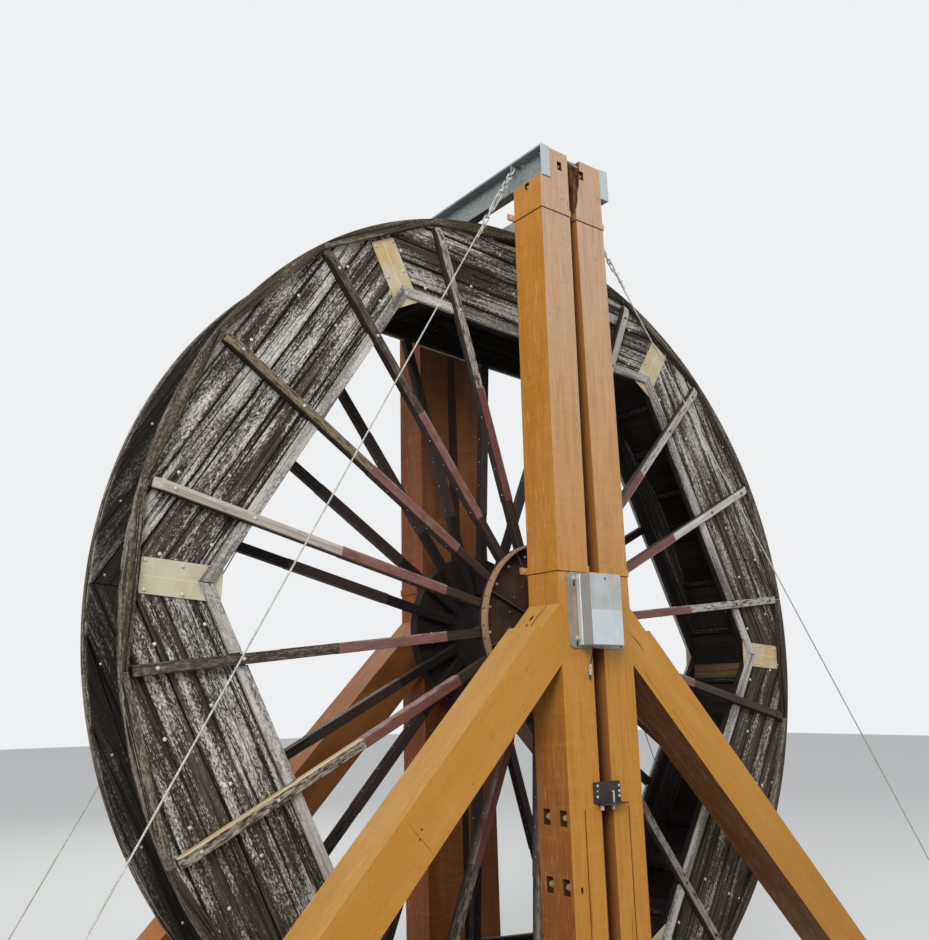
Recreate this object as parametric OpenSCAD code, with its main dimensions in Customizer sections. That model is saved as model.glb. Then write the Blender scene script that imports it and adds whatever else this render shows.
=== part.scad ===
// Timber water wheel, six metres across, carried on an axle between two braced timber frames.
// The floor is z = 0, the axle lies along y, and the wheel turns about it.

/* [Wheel] */
// Radius over the rim strips
wheel_r = 3000; // [2600:10:3200]
// Width over the outer faces of the two side rings
wheel_w = 580; // [480:10:640]
// Thickness of a side ring
ring_t = 50; // [40:1:60]
// Setback of a side ring's round edge behind the rim strips
ring_setback = 10; // [4:1:20]
// Distance from the rim to the corners of the hexagonal opening in a side ring
ring_depth = 520; // [450:5:600]
// Joint between two segments of a side ring
ring_joint = 3; // [2:1:6]
// Angle that the wheel stands at
wheel_turn = -3.5; // [-9:0.5:9]

/* [Spokes] */
// Spokes in each side of the wheel
spoke_count = 18; // [18:6:24]
// Width of a spoke
spoke_w = 75; // [60:1:80]
// Thickness of a spoke
spoke_t = 60; // [50:1:70]
// Distance from the rim to a spoke's outer end
spoke_set = 65; // [55:1:120]
// Length of a spoke behind the hub pan
spoke_lap = 290; // [240:5:300]

/* [Rim strips and trim] */
// Thickness of a rim strip
strip_t = 45; // [35:1:60]
// Width of a rim strip at its ends
strip_end_w = 38; // [25:1:50]
// Gap between two rim strips
strip_gap = 6; // [4:1:20]
// Width of the trim board round the opening
trim_w = 75; // [60:1:90]
// Thickness of the trim board
trim_t = 26; // [20:1:35]
// Gap between a trim board and a spoke
trim_gap = 4; // [3:1:10]
// Gap between a corner plate and the rim strip
plate_gap = 17; // [10:1:30]
// Width of a corner plate
plate_w = 200; // [160:5:260]
// Thickness of a corner plate
plate_t = 8; // [5:1:12]
// Overhang of a corner plate past the corner of the opening
plate_over = 60; // [40:5:80]

/* [Buckets] */
// Buckets round the wheel
bucket_count = 36; // [30:6:36]
// Distance from the opening's corners in to the sole boards
sole_inside = 30; // [10:1:50]
// Thickness of a sole board
sole_t = 40; // [30:1:50]
// Thickness of a bucket board
bucket_t = 38; // [30:1:45]
// Height of a bucket's bend above the sole boards
riser_h = 150; // [100:5:180]
// Distance from the rim to a bucket's lip
lip_set = 160; // [120:5:200]
// Lean of a bucket's front board away from the radius
front_lean = 38; // [30:1:50]
// Length of a riser inside the sole
riser_tail = 25; // [15:1:35]

/* [Hub and axle] */
// Radius of the hub pan
hub_r = 575; // [500:5:600]
// Depth of the hub pan
hub_depth = 76; // [70:1:110]
// Thickness of the pan's plates
hub_plate_t = 10; // [8:1:14]
// Ribs in a hub pan
hub_ribs = 9; // [6:3:12]
// Radius of the hub boss
boss_r = 110; // [90:5:130]
// Radius of the axle
axle_r = 45; // [40:1:48]
// Length of the axle inside each frame
axle_in_frame = 120; // [80:5:150]

/* [Posts] */
// Width of one post timber
post_w = 280; // [250:5:300]
// Depth of a post timber
post_d = 280; // [240:5:300]
// Gap between the two timbers of a frame
post_gap = 112; // [106:1:130]
// Clear space between a side ring and the frame
frame_clear = 292; // [270:1:340]
// Height of the axle above the floor
axle_h = 3200; // [3150:10:3400]
// Height of the post tops above the axle
post_rise = 3395; // [3350:5:3450]
// Distance that each timber leans in between the brace's shoulder and its top
post_lean = 26; // [0:1:40]
// Height of the saw slots in the feet of the posts
slot_h = 2020; // [1500:10:2200]
// Height of the upper bolt pockets in the sides of the posts
pocket_z = 1928; // [1700:10:2000]
// Height between the upper and lower bolt pockets
pocket_step = 400; // [300:10:500]
// Width of a saw slot
slot_w = 10; // [6:1:16]
// Depth of a saw slot
slot_d = 60; // [30:5:90]

/* [Braces] */
// Width of a brace, seen from the front
brace_w = 300; // [260:5:320]
// Height of a brace's shoulder above the axle
brace_rise = 95; // [60:5:130]
// Depth of the housing that a brace's head fills
housing = 45; // [30:1:60]
// Length of the thinned head of a brace
head_l = 170; // [120:5:220]
// Depth that the head is thinned by
head_cut = 30; // [15:1:45]

/* [Steel] */
// Height of a top channel
channel_h = 240; // [200:5:300]
// Width of a top channel's flanges
channel_b = 80; // [70:5:100]
// Web thickness of a top channel
channel_web = 8; // [6:1:12]
// Flange thickness of a top channel
channel_flange = 15; // [10:1:18]
// Distance from the middle to the flange tips of the left channel
channel_left = 300; // [290:1:310]
// Depth of the flat that the right channel's web sits on
channel_bed = 2; // [1:0.5:6]
// Thickness of the plates that close a channel's ends
channel_cap = 10; // [6:1:12]
// Height of a strap round the timbers
strap_h = 45; // [35:5:60]
// Thickness of a strap
strap_t = 6; // [4:1:10]
// Depth of the upper strap below the post tops
strap_drop = 495; // [350:5:600]
// Height of the lower strap above the axle
strap_low = 310; // [306:1:340]
// Length of a bearing housing
bearing_l = 70; // [50:5:90]
// Radius of a bearing housing
bearing_r = 95; // [80:5:110]
// Height of a bearing's foot plate
bearing_plate_h = 300; // [260:5:340]
// Thickness of a bearing's foot plate
bearing_plate_t = 20; // [16:1:30]

/* [Control box] */
// Width of the control box
box_w = 288; // [260:2:340]
// Height of the control box
box_h = 460; // [420:5:500]
// Depth of the control box
box_d = 126; // [100:2:150]
// Width of the plate behind the control box
back_w = 500; // [460:5:520]
// Height of the plate behind the control box
back_h = 488; // [470:2:500]
// Thickness of the plate behind the control box
back_t = 12; // [8:1:16]
// Height of the middle of the control box above the axle
box_rise = 60; // [20:5:65]
// Distance of the control box left of the middle
box_left = 43; // [0:1:80]
// Distance of the plate behind it left of the middle
back_left = 12; // [0:1:30]
// Width of the latch plate
latch_w = 240; // [200:5:260]
// Height of the latch plate
latch_h = 130; // [110:5:150]
// Thickness of the latch plate
latch_t = 10; // [6:1:14]
// Height of the latch plate's middle above the tops of the saw slots
latch_rise = 95; // [80:5:140]

/* [Stays] */
// Radius of a stay cable
stay_r = 6; // [5:0.5:8]
// Depth of the stays' eyes below the channels' tops
stay_drop = 55; // [45:5:125]
// Half the span between the front stays' feet
stay_x_front = 4380; // [4200:10:4500]
// Half the span between the back stays' feet
stay_x_back = 3780; // [3600:10:3900]
// Distance from the middle of the wheel to the stays' feet
stay_y = 1180; // [1100:10:1250]
// Length of a turnbuckle's body
turnbuckle_len = 270; // [220:5:350]
// Distance between the two bars of a turnbuckle's body
turnbuckle_w = 32; // [28:1:40]
// Distance from the eye to the turnbuckle
turnbuckle_at = 250; // [200:10:500]
// Side of a stay's foot plate
foot_plate = 200; // [160:10:240]
// Thickness of a stay's foot plate
foot_plate_t = 16; // [12:1:20]

/* [Hidden] */
$fn = 96;
eps = 1;
// Running clearance round the axle
run_fit = 0.05;
corners = 6;
corner_step = 360 / corners;
spoke_step = 360 / spoke_count;
bucket_step = 360 / bucket_count;
half_w = wheel_w / 2;
ring_r = wheel_r - ring_setback;
opening_r = wheel_r - ring_depth;
spoke_out_r = wheel_r - spoke_set;
spoke_in_r = hub_r - spoke_lap;
sole_r = opening_r - sole_inside;
bend_r = sole_r + sole_t + riser_h;
lip_r = wheel_r - lip_set;
strip_chord = (wheel_r - strip_end_w) * cos(spoke_step / 2);
plate_l = strip_chord - plate_gap - opening_r + plate_over;
opening_apothem = opening_r * cos(corner_step / 2);
inner_w = wheel_w - 2 * ring_t;
// Local z of the layers on a side ring's outer face
spoke_face = half_w + spoke_t;
hub_back = spoke_face;
hub_front = hub_back + hub_depth;
post_rear = half_w + frame_clear;
post_front = post_rear + post_d;
post_side = post_gap / 2 + post_w;
post_h = axle_h + post_rise;
latch_z = slot_h + latch_rise;
shoulder_z = axle_h + brace_rise;
head_lift = head_cut * sqrt(2);
brace_slant = brace_w * sqrt(2);
brace_toe = post_side + shoulder_z + head_lift;
cleat_t = 12;
cleat_behind = 25;
eye_in = 20;
// Gap between touching pieces that aren't square to each other
seat = 0.3;
stay_top_y = post_rear - cleat_behind - cleat_t / 2;
stay_top_z = post_h - stay_drop;
lug_h = 70;
lug_t = 14;
timber = "#c08a45";
dark_timber = "#9b5a32";
weathered = "#5d564c";
strip_brown = "#5d5244";
pale_wood = "#a5a199";
cream = "#cfc49d";
steel = "#8f9ea3";
rust = "#6b4a35";
box_grey = "#a9a9a6";
black_steel = "#33302f";

// Distance from the middle to the web's inner face of the left or right channel
function web_x(hand) = hand < 0 ? channel_left - channel_b : post_side - post_lean - channel_bed;
// Distance that a timber has leaned in by a height
function lean_at(z) = post_lean * max(0, z - shoulder_z) / (post_h - shoulder_z);

// Places children drawn in the wheel's plane, with local z towards the front
module in_wheel() {
    translate([0, 0, axle_h]) rotate([90, 0, 0]) rotate([0, 0, wheel_turn]) children();
}

// Front and back copies of what is drawn for the front
module on_side(front) {
    if (front) children();
    else mirror([0, 0, 1]) children();
}

// Front frame for side = -1, back frame for side = 1, drawn with y towards the outside
module frame_side(side) {
    if (side < 0) mirror([0, 1, 0]) children();
    else children();
}

module left_or_right(hand) {
    if (hand < 0) mirror([1, 0, 0]) children();
    else children();
}

module post_timber(side, hand) {
    recess_w = 44;
    recess_h = 70;
    recess_d = 30;
    recess_in = 62;
    recess_drop = 150;
    side_recess_h = 50;
    pocket_w = 60;
    pocket_h = 95;
    gap = post_gap / 2;
    color(side < 0 ? timber : dark_timber)
    frame_side(side) left_or_right(hand) difference() {
        translate([0, post_front, 0]) rotate([90, 0, 0]) linear_extrude(post_d) polygon([
            [gap, 0],
            [post_side, 0],
            [post_side, shoulder_z],
            [post_side - post_lean, post_h],
            [gap - post_lean, post_h],
            [gap, shoulder_z]]);
        // Seat of a top channel
        translate([web_x(hand), post_rear - eps, post_h - channel_h])
            cube([post_side, post_d + 2 * eps, channel_h + eps]);
        // Recess of the bolt below the left channel
        if (hand < 0)
            translate([post_side - post_lean - recess_d, post_rear + post_d / 2 - recess_w / 2,
                post_h - channel_h - recess_in]) cube([recess_d + post_lean, recess_w, side_recess_h]);
        // Housing of the brace's head, a little higher than its shoulder
        translate([post_side - housing, post_rear - eps, shoulder_z + head_lift - brace_slant - seat])
            cube([housing + eps, post_d + 2 * eps, brace_slant - head_lift + 2 * seat]);
        // Saw slot up the foot
        translate([post_side - post_w / 2, post_front - slot_d, -eps])
            cube([slot_w, slot_d + eps, slot_h + eps]);
        // Recess of the bolt below the top
        translate([gap - post_lean + recess_in, post_front - recess_d, post_h - recess_drop])
            cube([recess_w, recess_d + eps, recess_h]);
        // Recesses of the bolt pairs in the side of the foot
        for (z = [pocket_z, pocket_z - pocket_step], y = [0.285, 0.8])
            translate([post_side - recess_d, post_rear + post_d * y - pocket_w / 2, z])
                cube([recess_d + eps, pocket_w, pocket_h]);
        if (side < 0 && hand > 0) rotted_corner();
    }
}

// Wood lost from the inner front corner at the top of the front right timber. The outlines are
// shares of the width and height that are lost
module rotted_corner() {
    lost_w = 70;
    lost_h = 230;
    thin_h = 430;
    past = -0.3;
    translate([post_gap / 2 - post_lean, post_front, post_h]) rotate([90, 0, 0]) {
        lost_wood(42) scale([lost_w, lost_h]) polygon([
            [past, 0.01], [1, 0.01], [0.94, -0.26], [0.83, -0.56],
            [0.43, -0.65], [0.23, -0.83], [past, -1]]);
        lost_wood(14) scale([lost_w, thin_h]) polygon([
            [past, -0.23], [0.86, -0.23], [0.74, -0.47], [0.49, -0.61],
            [0.43, -0.77], [0.17, -0.93], [past, -1]]);
    }
}

// Cuts the drawn outline to the given depth behind the face
module lost_wood(deep) {
    translate([0, 0, -eps]) linear_extrude(deep + eps) children();
}

module brace(side, hand) {
    foot_in = brace_toe - brace_slant;
    head_x = post_side + head_l;
    color(side < 0 ? timber : dark_timber)
    frame_side(side) left_or_right(hand)
    translate([0, post_front, 0]) rotate([90, 0, 0]) linear_extrude(post_d)
        polygon([
            [post_side - housing, shoulder_z],
            [post_side, shoulder_z],
            [head_x, shoulder_z - head_l],
            [head_x + head_lift / 2, shoulder_z - head_l + head_lift / 2],
            [brace_toe, 0],
            [foot_in, 0],
            [post_side, foot_in - post_side],
            [post_side - housing, foot_in - post_side]]);
}

// Spacer in the gap of a frame, set back from its face and against the left timber
module packer(side) {
    packer_w = 50;
    packer_set = 40;
    color(side < 0 ? timber : dark_timber)
    frame_side(side)
        translate([-post_gap / 2, post_rear, 0]) cube([packer_w, post_d - packer_set, slot_h]);
}

// Strap round one timber, whose ends meet in a bolted lug at the outer rear corner
module strap(z) {
    lug = 60;
    inner = post_gap / 2 - lean_at(z + strap_h) - seat;
    outer = post_side - lean_at(z) + seat;
    out = outer + strap_t;
    difference() {
        translate([inner - strap_t, post_rear - strap_t, z])
            cube([out - inner + strap_t, post_d + 2 * strap_t, strap_h]);
        translate([inner, post_rear, z - eps]) cube([outer - inner, post_d, strap_h + 2 * eps]);
    }
    difference() {
        translate([out, post_rear - strap_t, z]) cube([lug, 2 * strap_t, strap_h]);
        translate([out + lug / 2, post_rear + 2 * strap_t, z + strap_h / 2])
            rotate([90, 0, 0]) cylinder(r = 8, h = 4 * strap_t, $fn = 24);
    }
}

module straps(side) {
    color(timber)
    frame_side(side)
        for (z = [post_h - strap_drop, axle_h + strap_low], hand = [-1, 1])
            left_or_right(hand) strap(z);
}

// Channel with its web against the posts and a plate over each end
module top_channel(hand) {
    inner = web_x(hand);
    outer = inner + channel_b;
    reach = post_front + channel_cap;
    color(steel)
    left_or_right(hand) translate([0, 0, post_h - channel_h]) {
        translate([0, post_front, 0]) rotate([90, 0, 0]) linear_extrude(2 * post_front)
            polygon([
                [inner, 0],
                [outer, 0],
                [outer, channel_flange],
                [inner + channel_web, channel_flange],
                [inner + channel_web, channel_h - channel_flange],
                [outer, channel_h - channel_flange],
                [outer, channel_h],
                [inner, channel_h]]);
        for (y = [-reach, post_front]) translate([inner, y, 0]) cube([channel_b, channel_cap, channel_h]);
    }
}

// Plate across a channel, between its flanges, with the eye that a stay hooks into
module cleat(hand) {
    eye_r = 12;
    inner = web_x(hand) + channel_web;
    clear_h = channel_h - 2 * channel_flange;
    translate([0, stay_top_y + cleat_t / 2, 0]) rotate([90, 0, 0])
    linear_extrude(cleat_t) difference() {
        translate([inner, post_h - channel_h + channel_flange])
            square([web_x(hand) + channel_b - inner, clear_h]);
        translate([web_x(hand) + channel_b - eye_in, stay_top_z]) circle(eye_r);
    }
}

module stay_cleats() {
    color(steel)
    for (side = [-1, 1], hand = [-1, 1])
        frame_side(side) left_or_right(hand) cleat(hand);
}

function stay_top(hand) = [web_x(hand) + channel_b - eye_in, stay_top_y, stay_top_z];
function stay_foot(side) = [side < 0 ? stay_x_front : stay_x_back, stay_y, foot_plate_t + lug_h];
function unit(v) = v / norm(v);
function stay_run(side, hand) = unit(stay_foot(side) - stay_top(hand));
// Distance along a rod at which its square end just clears an edge, for the run's share of that axis
function clear_of_edge(edge, share, r) = (edge + seat + r * sqrt(1 - share * share)) / share;

// Draws children with local z along the stay, at the given distance from its eye
module along_stay(side, hand, at) {
    run = stay_run(side, hand);
    translate(stay_top(hand) + run * at)
        rotate([0, acos(run[2]), atan2(run[1], run[0])]) children();
}

module stay(side, hand) {
    link_r = 10;
    run = stay_run(side, hand);
    start = clear_of_edge(eye_in, run[0], link_r);
    end = norm(stay_foot(side) - stay_top(hand)) - clear_of_edge(0, -run[2], stay_r);
    color(steel)
    frame_side(side) left_or_right(hand) {
        along_stay(side, hand, start) cylinder(r = link_r, h = turnbuckle_at - start);
        along_stay(side, hand, turnbuckle_at + turnbuckle_len)
            cylinder(r = stay_r, h = end - turnbuckle_at - turnbuckle_len);
    }
}

// Open body of a turnbuckle: two bars with a nut across them at each end
module turnbuckles() {
    nut_r = 16;
    nut_h = 30;
    bar_r = 6;
    color(steel)
    for (side = [-1, 1], hand = [-1, 1])
        frame_side(side) left_or_right(hand) along_stay(side, hand, turnbuckle_at) union() {
            for (z = [0, turnbuckle_len - nut_h]) translate([0, 0, z]) cylinder(r = nut_r, h = nut_h);
            for (x = [-1, 1]) translate([x * turnbuckle_w / 2, 0, nut_h / 4])
                cylinder(r = bar_r, h = turnbuckle_len - nut_h / 2);
        }
}

module stay_feet() {
    lug_w = 90;
    color(steel)
    for (side = [-1, 1], hand = [-1, 1]) frame_side(side) left_or_right(hand) {
        foot = stay_foot(side);
        translate([foot[0] - foot_plate / 2, foot[1] - foot_plate / 2, 0])
            cube([foot_plate, foot_plate, foot_plate_t]);
        translate([foot[0] - lug_w / 2, foot[1] - lug_t / 2, foot_plate_t])
            cube([lug_w, lug_t, lug_h]);
    }
}

module bearing(side) {
    plate_w = post_gap + 2 * 140;
    color(rust)
    frame_side(side) difference() {
        union() {
            translate([-plate_w / 2, post_rear - bearing_plate_t, axle_h - bearing_plate_h / 2])
                cube([plate_w, bearing_plate_t, bearing_plate_h]);
            translate([0, post_rear, axle_h]) rotate([90, 0, 0])
                cylinder(r = bearing_r, h = bearing_plate_t + bearing_l);
        }
        translate([0, post_rear + eps, axle_h]) rotate([90, 0, 0])
            cylinder(r = axle_r + run_fit, h = bearing_plate_t + bearing_l + 2 * eps);
    }
}

module rounded_plate(w, h, t, r) {
    rotate([90, 0, 0]) linear_extrude(t) union() {
        square([w - 2 * r, h], center = true);
        square([w, h - 2 * r], center = true);
        for (x = [-1, 1], y = [-1, 1])
            translate([x * (w / 2 - r), y * (h / 2 - r)]) circle(r);
    }
}

module box_back_plate() {
    color(box_grey)
    translate([-back_left, -post_front, axle_h + box_rise]) rounded_plate(back_w, back_h, back_t, 35);
}

module control_box() {
    color(box_grey)
    translate([-box_left, -post_front - back_t, axle_h + box_rise])
        rounded_plate(box_w, box_h, box_d, 6);
}

module latch_plate() {
    shelf_w = 230;
    shelf_d = 60;
    shelf_t = 8;
    color(black_steel)
    translate([0, -post_front, latch_z]) {
        rounded_plate(latch_w, latch_h, latch_t, 8);
        translate([-latch_w / 2 + 30, -shelf_d, -latch_h / 2 - shelf_t])
            cube([shelf_w, shelf_d, shelf_t]);
    }
}

module axle() {
    length = 2 * (post_rear + axle_in_frame);
    color(steel)
    in_wheel() translate([0, 0, -length / 2]) cylinder(r = axle_r, h = length);
}

// Open pan that the spokes are bolted behind, with ribs from its boss to its rim
module hub(front) {
    rim_t = 12;
    rib_t = 10;
    rib_h = hub_depth * 0.55;
    color(rust)
    in_wheel() on_side(front) difference() {
        translate([0, 0, hub_back]) union() {
            difference() {
                cylinder(r = hub_r, h = hub_depth);
                translate([0, 0, hub_plate_t]) cylinder(r = hub_r - rim_t, h = hub_depth);
            }
            cylinder(r = boss_r, h = hub_depth);
            for (i = [0 : hub_ribs - 1]) rotate([0, 0, i * 360 / hub_ribs])
                translate([boss_r - rib_t, -rib_t / 2, 0])
                    cube([hub_r - rim_t / 2 - boss_r + rib_t, rib_t, rib_h]);
        }
        translate([0, 0, hub_back - eps]) cylinder(r = axle_r + run_fit, h = hub_depth + 2 * eps);
    }
}

// Square bars on a side ring, each bevelled at its outer end
module spokes(front) {
    bevel_l = 60;
    tip_t = spoke_t * 0.6;
    color(pale_wood)
    in_wheel() on_side(front)
        for (i = [0 : spoke_count - 1]) rotate([0, 0, (i + 0.5) * spoke_step])
            translate([0, spoke_w / 2, half_w]) rotate([90, 0, 0]) linear_extrude(spoke_w) polygon([
                [spoke_in_r, 0],
                [spoke_out_r, 0],
                [spoke_out_r, tip_t],
                [spoke_out_r - bevel_l, spoke_t],
                [spoke_in_r, spoke_t]]);
}

// One segment of a side ring: straight along the opening, round outside, cut on the radii
module ring_segment_2d() {
    half = corner_step / 2;
    intersection() {
        circle(ring_r, $fn = 360);
        polygon([
            [opening_apothem, -opening_apothem * tan(half) + ring_joint / 2 / cos(half)],
            [2 * ring_r, -2 * ring_r * tan(half) + ring_joint / 2 / cos(half)],
            [2 * ring_r, 2 * ring_r * tan(half) - ring_joint / 2 / cos(half)],
            [opening_apothem, opening_apothem * tan(half) - ring_joint / 2 / cos(half)]]);
    }
}

module side_ring(front) {
    color(weathered)
    in_wheel() on_side(front)
        for (i = [0 : corners - 1]) rotate([0, 0, (i + 0.5) * corner_step])
            translate([0, 0, half_w - ring_t]) linear_extrude(ring_t) ring_segment_2d();
}

// Strip from spoke to spoke, straight inside and round outside
module rim_strips(front) {
    half = spoke_step / 2;
    color(strip_brown)
    in_wheel() on_side(front)
        for (i = [0 : spoke_count - 1]) rotate([0, 0, i * spoke_step])
            translate([0, 0, half_w]) linear_extrude(strip_t) intersection() {
                circle(wheel_r, $fn = 360);
                polygon([
                    [strip_chord, -strip_chord * tan(half) + strip_gap / 2],
                    [2 * wheel_r, -2 * wheel_r * tan(half) + strip_gap / 2],
                    [2 * wheel_r, 2 * wheel_r * tan(half) - strip_gap / 2],
                    [strip_chord, strip_chord * tan(half) - strip_gap / 2]]);
            }
}

// Corner plate, square to the radius, lying on the side ring
module corner_plate_at(grow) {
    translate([opening_r - plate_over - grow, -plate_w / 2 - grow, half_w])
        cube([plate_l + 2 * grow, plate_w + 2 * grow, plate_t + grow]);
}

module corner_plates(front) {
    color(cream)
    in_wheel() on_side(front)
        for (i = [0 : corners - 1]) rotate([0, 0, i * corner_step]) corner_plate_at(0);
}

// Boards round the opening, cut to lengths between the spokes and rebated over the corner plates
module trim(front) {
    half = corner_step / 2;
    outer = opening_apothem + trim_w;
    cut_w = spoke_w + 2 * trim_gap;
    color(pale_wood)
    in_wheel() on_side(front) difference() {
        for (i = [0 : corners - 1]) rotate([0, 0, (i + 0.5) * corner_step])
            translate([0, 0, half_w]) linear_extrude(trim_t) polygon([
                [opening_apothem, -opening_apothem * tan(half) + ring_joint / 2],
                [outer, -outer * tan(half) + ring_joint / 2],
                [outer, outer * tan(half) - ring_joint / 2],
                [opening_apothem, opening_apothem * tan(half) - ring_joint / 2]]);
        for (i = [0 : spoke_count - 1]) rotate([0, 0, (i + 0.5) * spoke_step])
            translate([spoke_in_r, -cut_w / 2, half_w - eps])
                cube([ring_r, cut_w, trim_t + 2 * eps]);
        for (i = [0 : corners - 1]) rotate([0, 0, i * corner_step])
            translate([0, 0, -eps]) corner_plate_at(seat + eps);
    }
}

module sole_boards() {
    half = bucket_step / 2;
    outer = sole_r + sole_t;
    cut = bucket_t / 2 + seat;
    color(weathered)
    in_wheel() for (i = [0 : bucket_count - 1]) rotate([0, 0, i * bucket_step])
        translate([0, 0, -inner_w / 2]) linear_extrude(inner_w) polygon([
            [sole_r, -sole_r * tan(half) + cut / cos(half)],
            [outer, -outer * tan(half) + cut / cos(half)],
            [outer, outer * tan(half) - cut / cos(half)],
            [sole_r, sole_r * tan(half) - cut / cos(half)]]);
}

module bucket_risers() {
    tail_r = sole_r / cos(bucket_step / 2) - riser_tail;
    mitre = bucket_t / 2 * tan(front_lean / 2);
    color(weathered)
    in_wheel() for (i = [0 : bucket_count - 1]) rotate([0, 0, (i + 0.5) * bucket_step])
        translate([0, 0, -inner_w / 2]) linear_extrude(inner_w) polygon([
            [tail_r, -bucket_t / 2],
            [bend_r + mitre, -bucket_t / 2],
            [bend_r - mitre, bucket_t / 2],
            [tail_r, bucket_t / 2]]);
}

// Leaning front board, mitred on the riser's end and cut off at the lip's radius
module bucket_fronts() {
    mitre = bucket_t / 2 * tan(front_lean / 2);
    reach = (lip_r - bend_r) / cos(front_lean);
    lean = [cos(front_lean), sin(front_lean)];
    low = [bend_r + mitre, -bucket_t / 2];
    high = [bend_r - mitre, bucket_t / 2];
    color(weathered)
    in_wheel() for (i = [0 : bucket_count - 1]) rotate([0, 0, (i + 0.5) * bucket_step])
        translate([0, 0, -inner_w / 2]) linear_extrude(inner_w)
            polygon([low, low + lean * (reach - 2 * mitre), high + lean * reach, high]);
}

post_timber(-1, -1);  // front_post_left
post_timber(-1, 1);  // front_post_right
post_timber(1, -1);  // back_post_left
post_timber(1, 1);  // back_post_right
brace(-1, -1);  // front_brace_left
brace(-1, 1);  // front_brace_right
brace(1, -1);  // back_brace_left
brace(1, 1);  // back_brace_right
packer(-1);  // front_packer
packer(1);  // back_packer
straps(-1);  // front_straps
straps(1);  // back_straps
top_channel(-1);  // top_channel_left
top_channel(1);  // top_channel_right
stay_cleats();
stay(-1, -1);  // front_stay_left
stay(-1, 1);  // front_stay_right
stay(1, -1);  // back_stay_left
stay(1, 1);  // back_stay_right
turnbuckles();
stay_feet();
bearing(-1);  // front_bearing
bearing(1);  // back_bearing
box_back_plate();
control_box();
latch_plate();
axle();
hub(true);  // front_hub
hub(false);  // back_hub
spokes(true);  // front_spokes
spokes(false);  // back_spokes
side_ring(true);  // front_ring
side_ring(false);  // back_ring
rim_strips(true);  // front_rim_strips
rim_strips(false);  // back_rim_strips
trim(true);  // front_trim
trim(false);  // back_trim
corner_plates(true);  // front_corner_plates
corner_plates(false);  // back_corner_plates
sole_boards();
bucket_risers();
bucket_fronts();
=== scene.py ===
import math
import random

import bpy
from mathutils import Matrix, Vector


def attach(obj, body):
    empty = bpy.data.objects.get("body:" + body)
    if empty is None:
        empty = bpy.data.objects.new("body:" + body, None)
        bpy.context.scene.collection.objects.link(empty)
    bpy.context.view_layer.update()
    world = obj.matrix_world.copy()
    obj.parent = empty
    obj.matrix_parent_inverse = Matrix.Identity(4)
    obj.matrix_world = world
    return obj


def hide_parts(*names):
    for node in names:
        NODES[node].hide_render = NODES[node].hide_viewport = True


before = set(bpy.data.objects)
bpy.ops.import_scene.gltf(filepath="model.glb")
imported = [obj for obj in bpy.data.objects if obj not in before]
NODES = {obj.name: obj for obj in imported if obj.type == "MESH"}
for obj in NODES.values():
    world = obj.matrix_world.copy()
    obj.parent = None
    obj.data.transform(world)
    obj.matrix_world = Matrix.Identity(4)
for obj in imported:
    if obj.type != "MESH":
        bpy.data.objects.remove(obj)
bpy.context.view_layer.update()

rnd = random.Random(7)

# Sizes that the part's source names too, in metres and degrees
WHEEL_R, RING_R, RING_T, HALF_W = 3.0, 2.99, 0.05, 0.29
CORNERS, OPEN_R, TURN = 6, 2.48, -3.5
SPOKES, SPOKE_W, SPOKE_T = 18, 0.062, 0.06
SPOKE_IN, SPOKE_OUT, SPOKE_TIP, SPOKE_BEVEL = 0.285, 2.935, 0.036, 0.06
STRIP_T, STRIP_END = 0.045, 0.038
TRIM_W, TRIM_T, TRIM_GAP = 0.075, 0.026, 0.004
PLATE_W, PLATE_T, PLATE_IN, PLATE_OUT = 0.2, 0.008, 2.42, 2.9
BUCKETS, SOLE_R, SOLE_T, BOARD_T = 36, 2.45, 0.04, 0.038
BEND_R, LIP_R, LEAN = 2.64, 2.84, math.radians(38)
HUB_R, HUB_DEPTH, HUB_PLATE, HUB_RIBS = 0.575, 0.076, 0.01, 9
AXLE_H = 3.2
POST_REAR, POST_FRONT, POST_GAP, POST_SIDE = 0.582, 0.862, 0.056, 0.336
POST_H, SHOULDER, POST_LEAN = 6.595, 3.295, 0.026
STRAP_Z = (6.1, 3.51)
CHANNEL_FRONT, CHANNEL_WEB = {-1: 0.22, 1: 0.308}, 0.008
BACK_T = 0.012
BOX_X, BOX_Z, BOX_W, BOX_H, BOX_D = -0.043, 3.26, 0.288, 0.46, 0.126
LATCH_Z = 2.115
STAY_FOOT_X, STAY_FOOT_Y, STAY_FOOT_Z = {-1: 4.38, 1: 3.78}, 1.18, 0.086
TURNBUCKLE_AT, TURNBUCKLE_L, TURNBUCKLE_W = 0.25, 0.27, 0.032

# What follows from them
OPEN_A = OPEN_R * math.cos(math.pi / CORNERS)
SPOKE_FACE = HALF_W + SPOKE_T
INNER_HALF = HALF_W - RING_T
SEGMENT, SPOKE_PITCH, BUCKET_PITCH = 360 / CORNERS, 360 / SPOKES, 360 / BUCKETS

SIDES = ((-1, "front"), (1, "back"))
HANDS = ((-1, "left"), (1, "right"))

# Directions of the grain in a piece's own (x, y, height)
ALONG_X, ALONG_Y, ALONG_H = (1, 0, 0), (0, 1, 0), (0, 0, 1)


# Materials


def lin(h):
    """A colour written as in a picture, such as c08a45, as linear numbers."""
    out = []
    for i in (0, 2, 4):
        c = int(h[i:i + 2], 16) / 255
        out.append(c / 12.92 if c <= 0.04045 else ((c + 0.055) / 1.055) ** 2.4)
    return (*out, 1.0)


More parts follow.
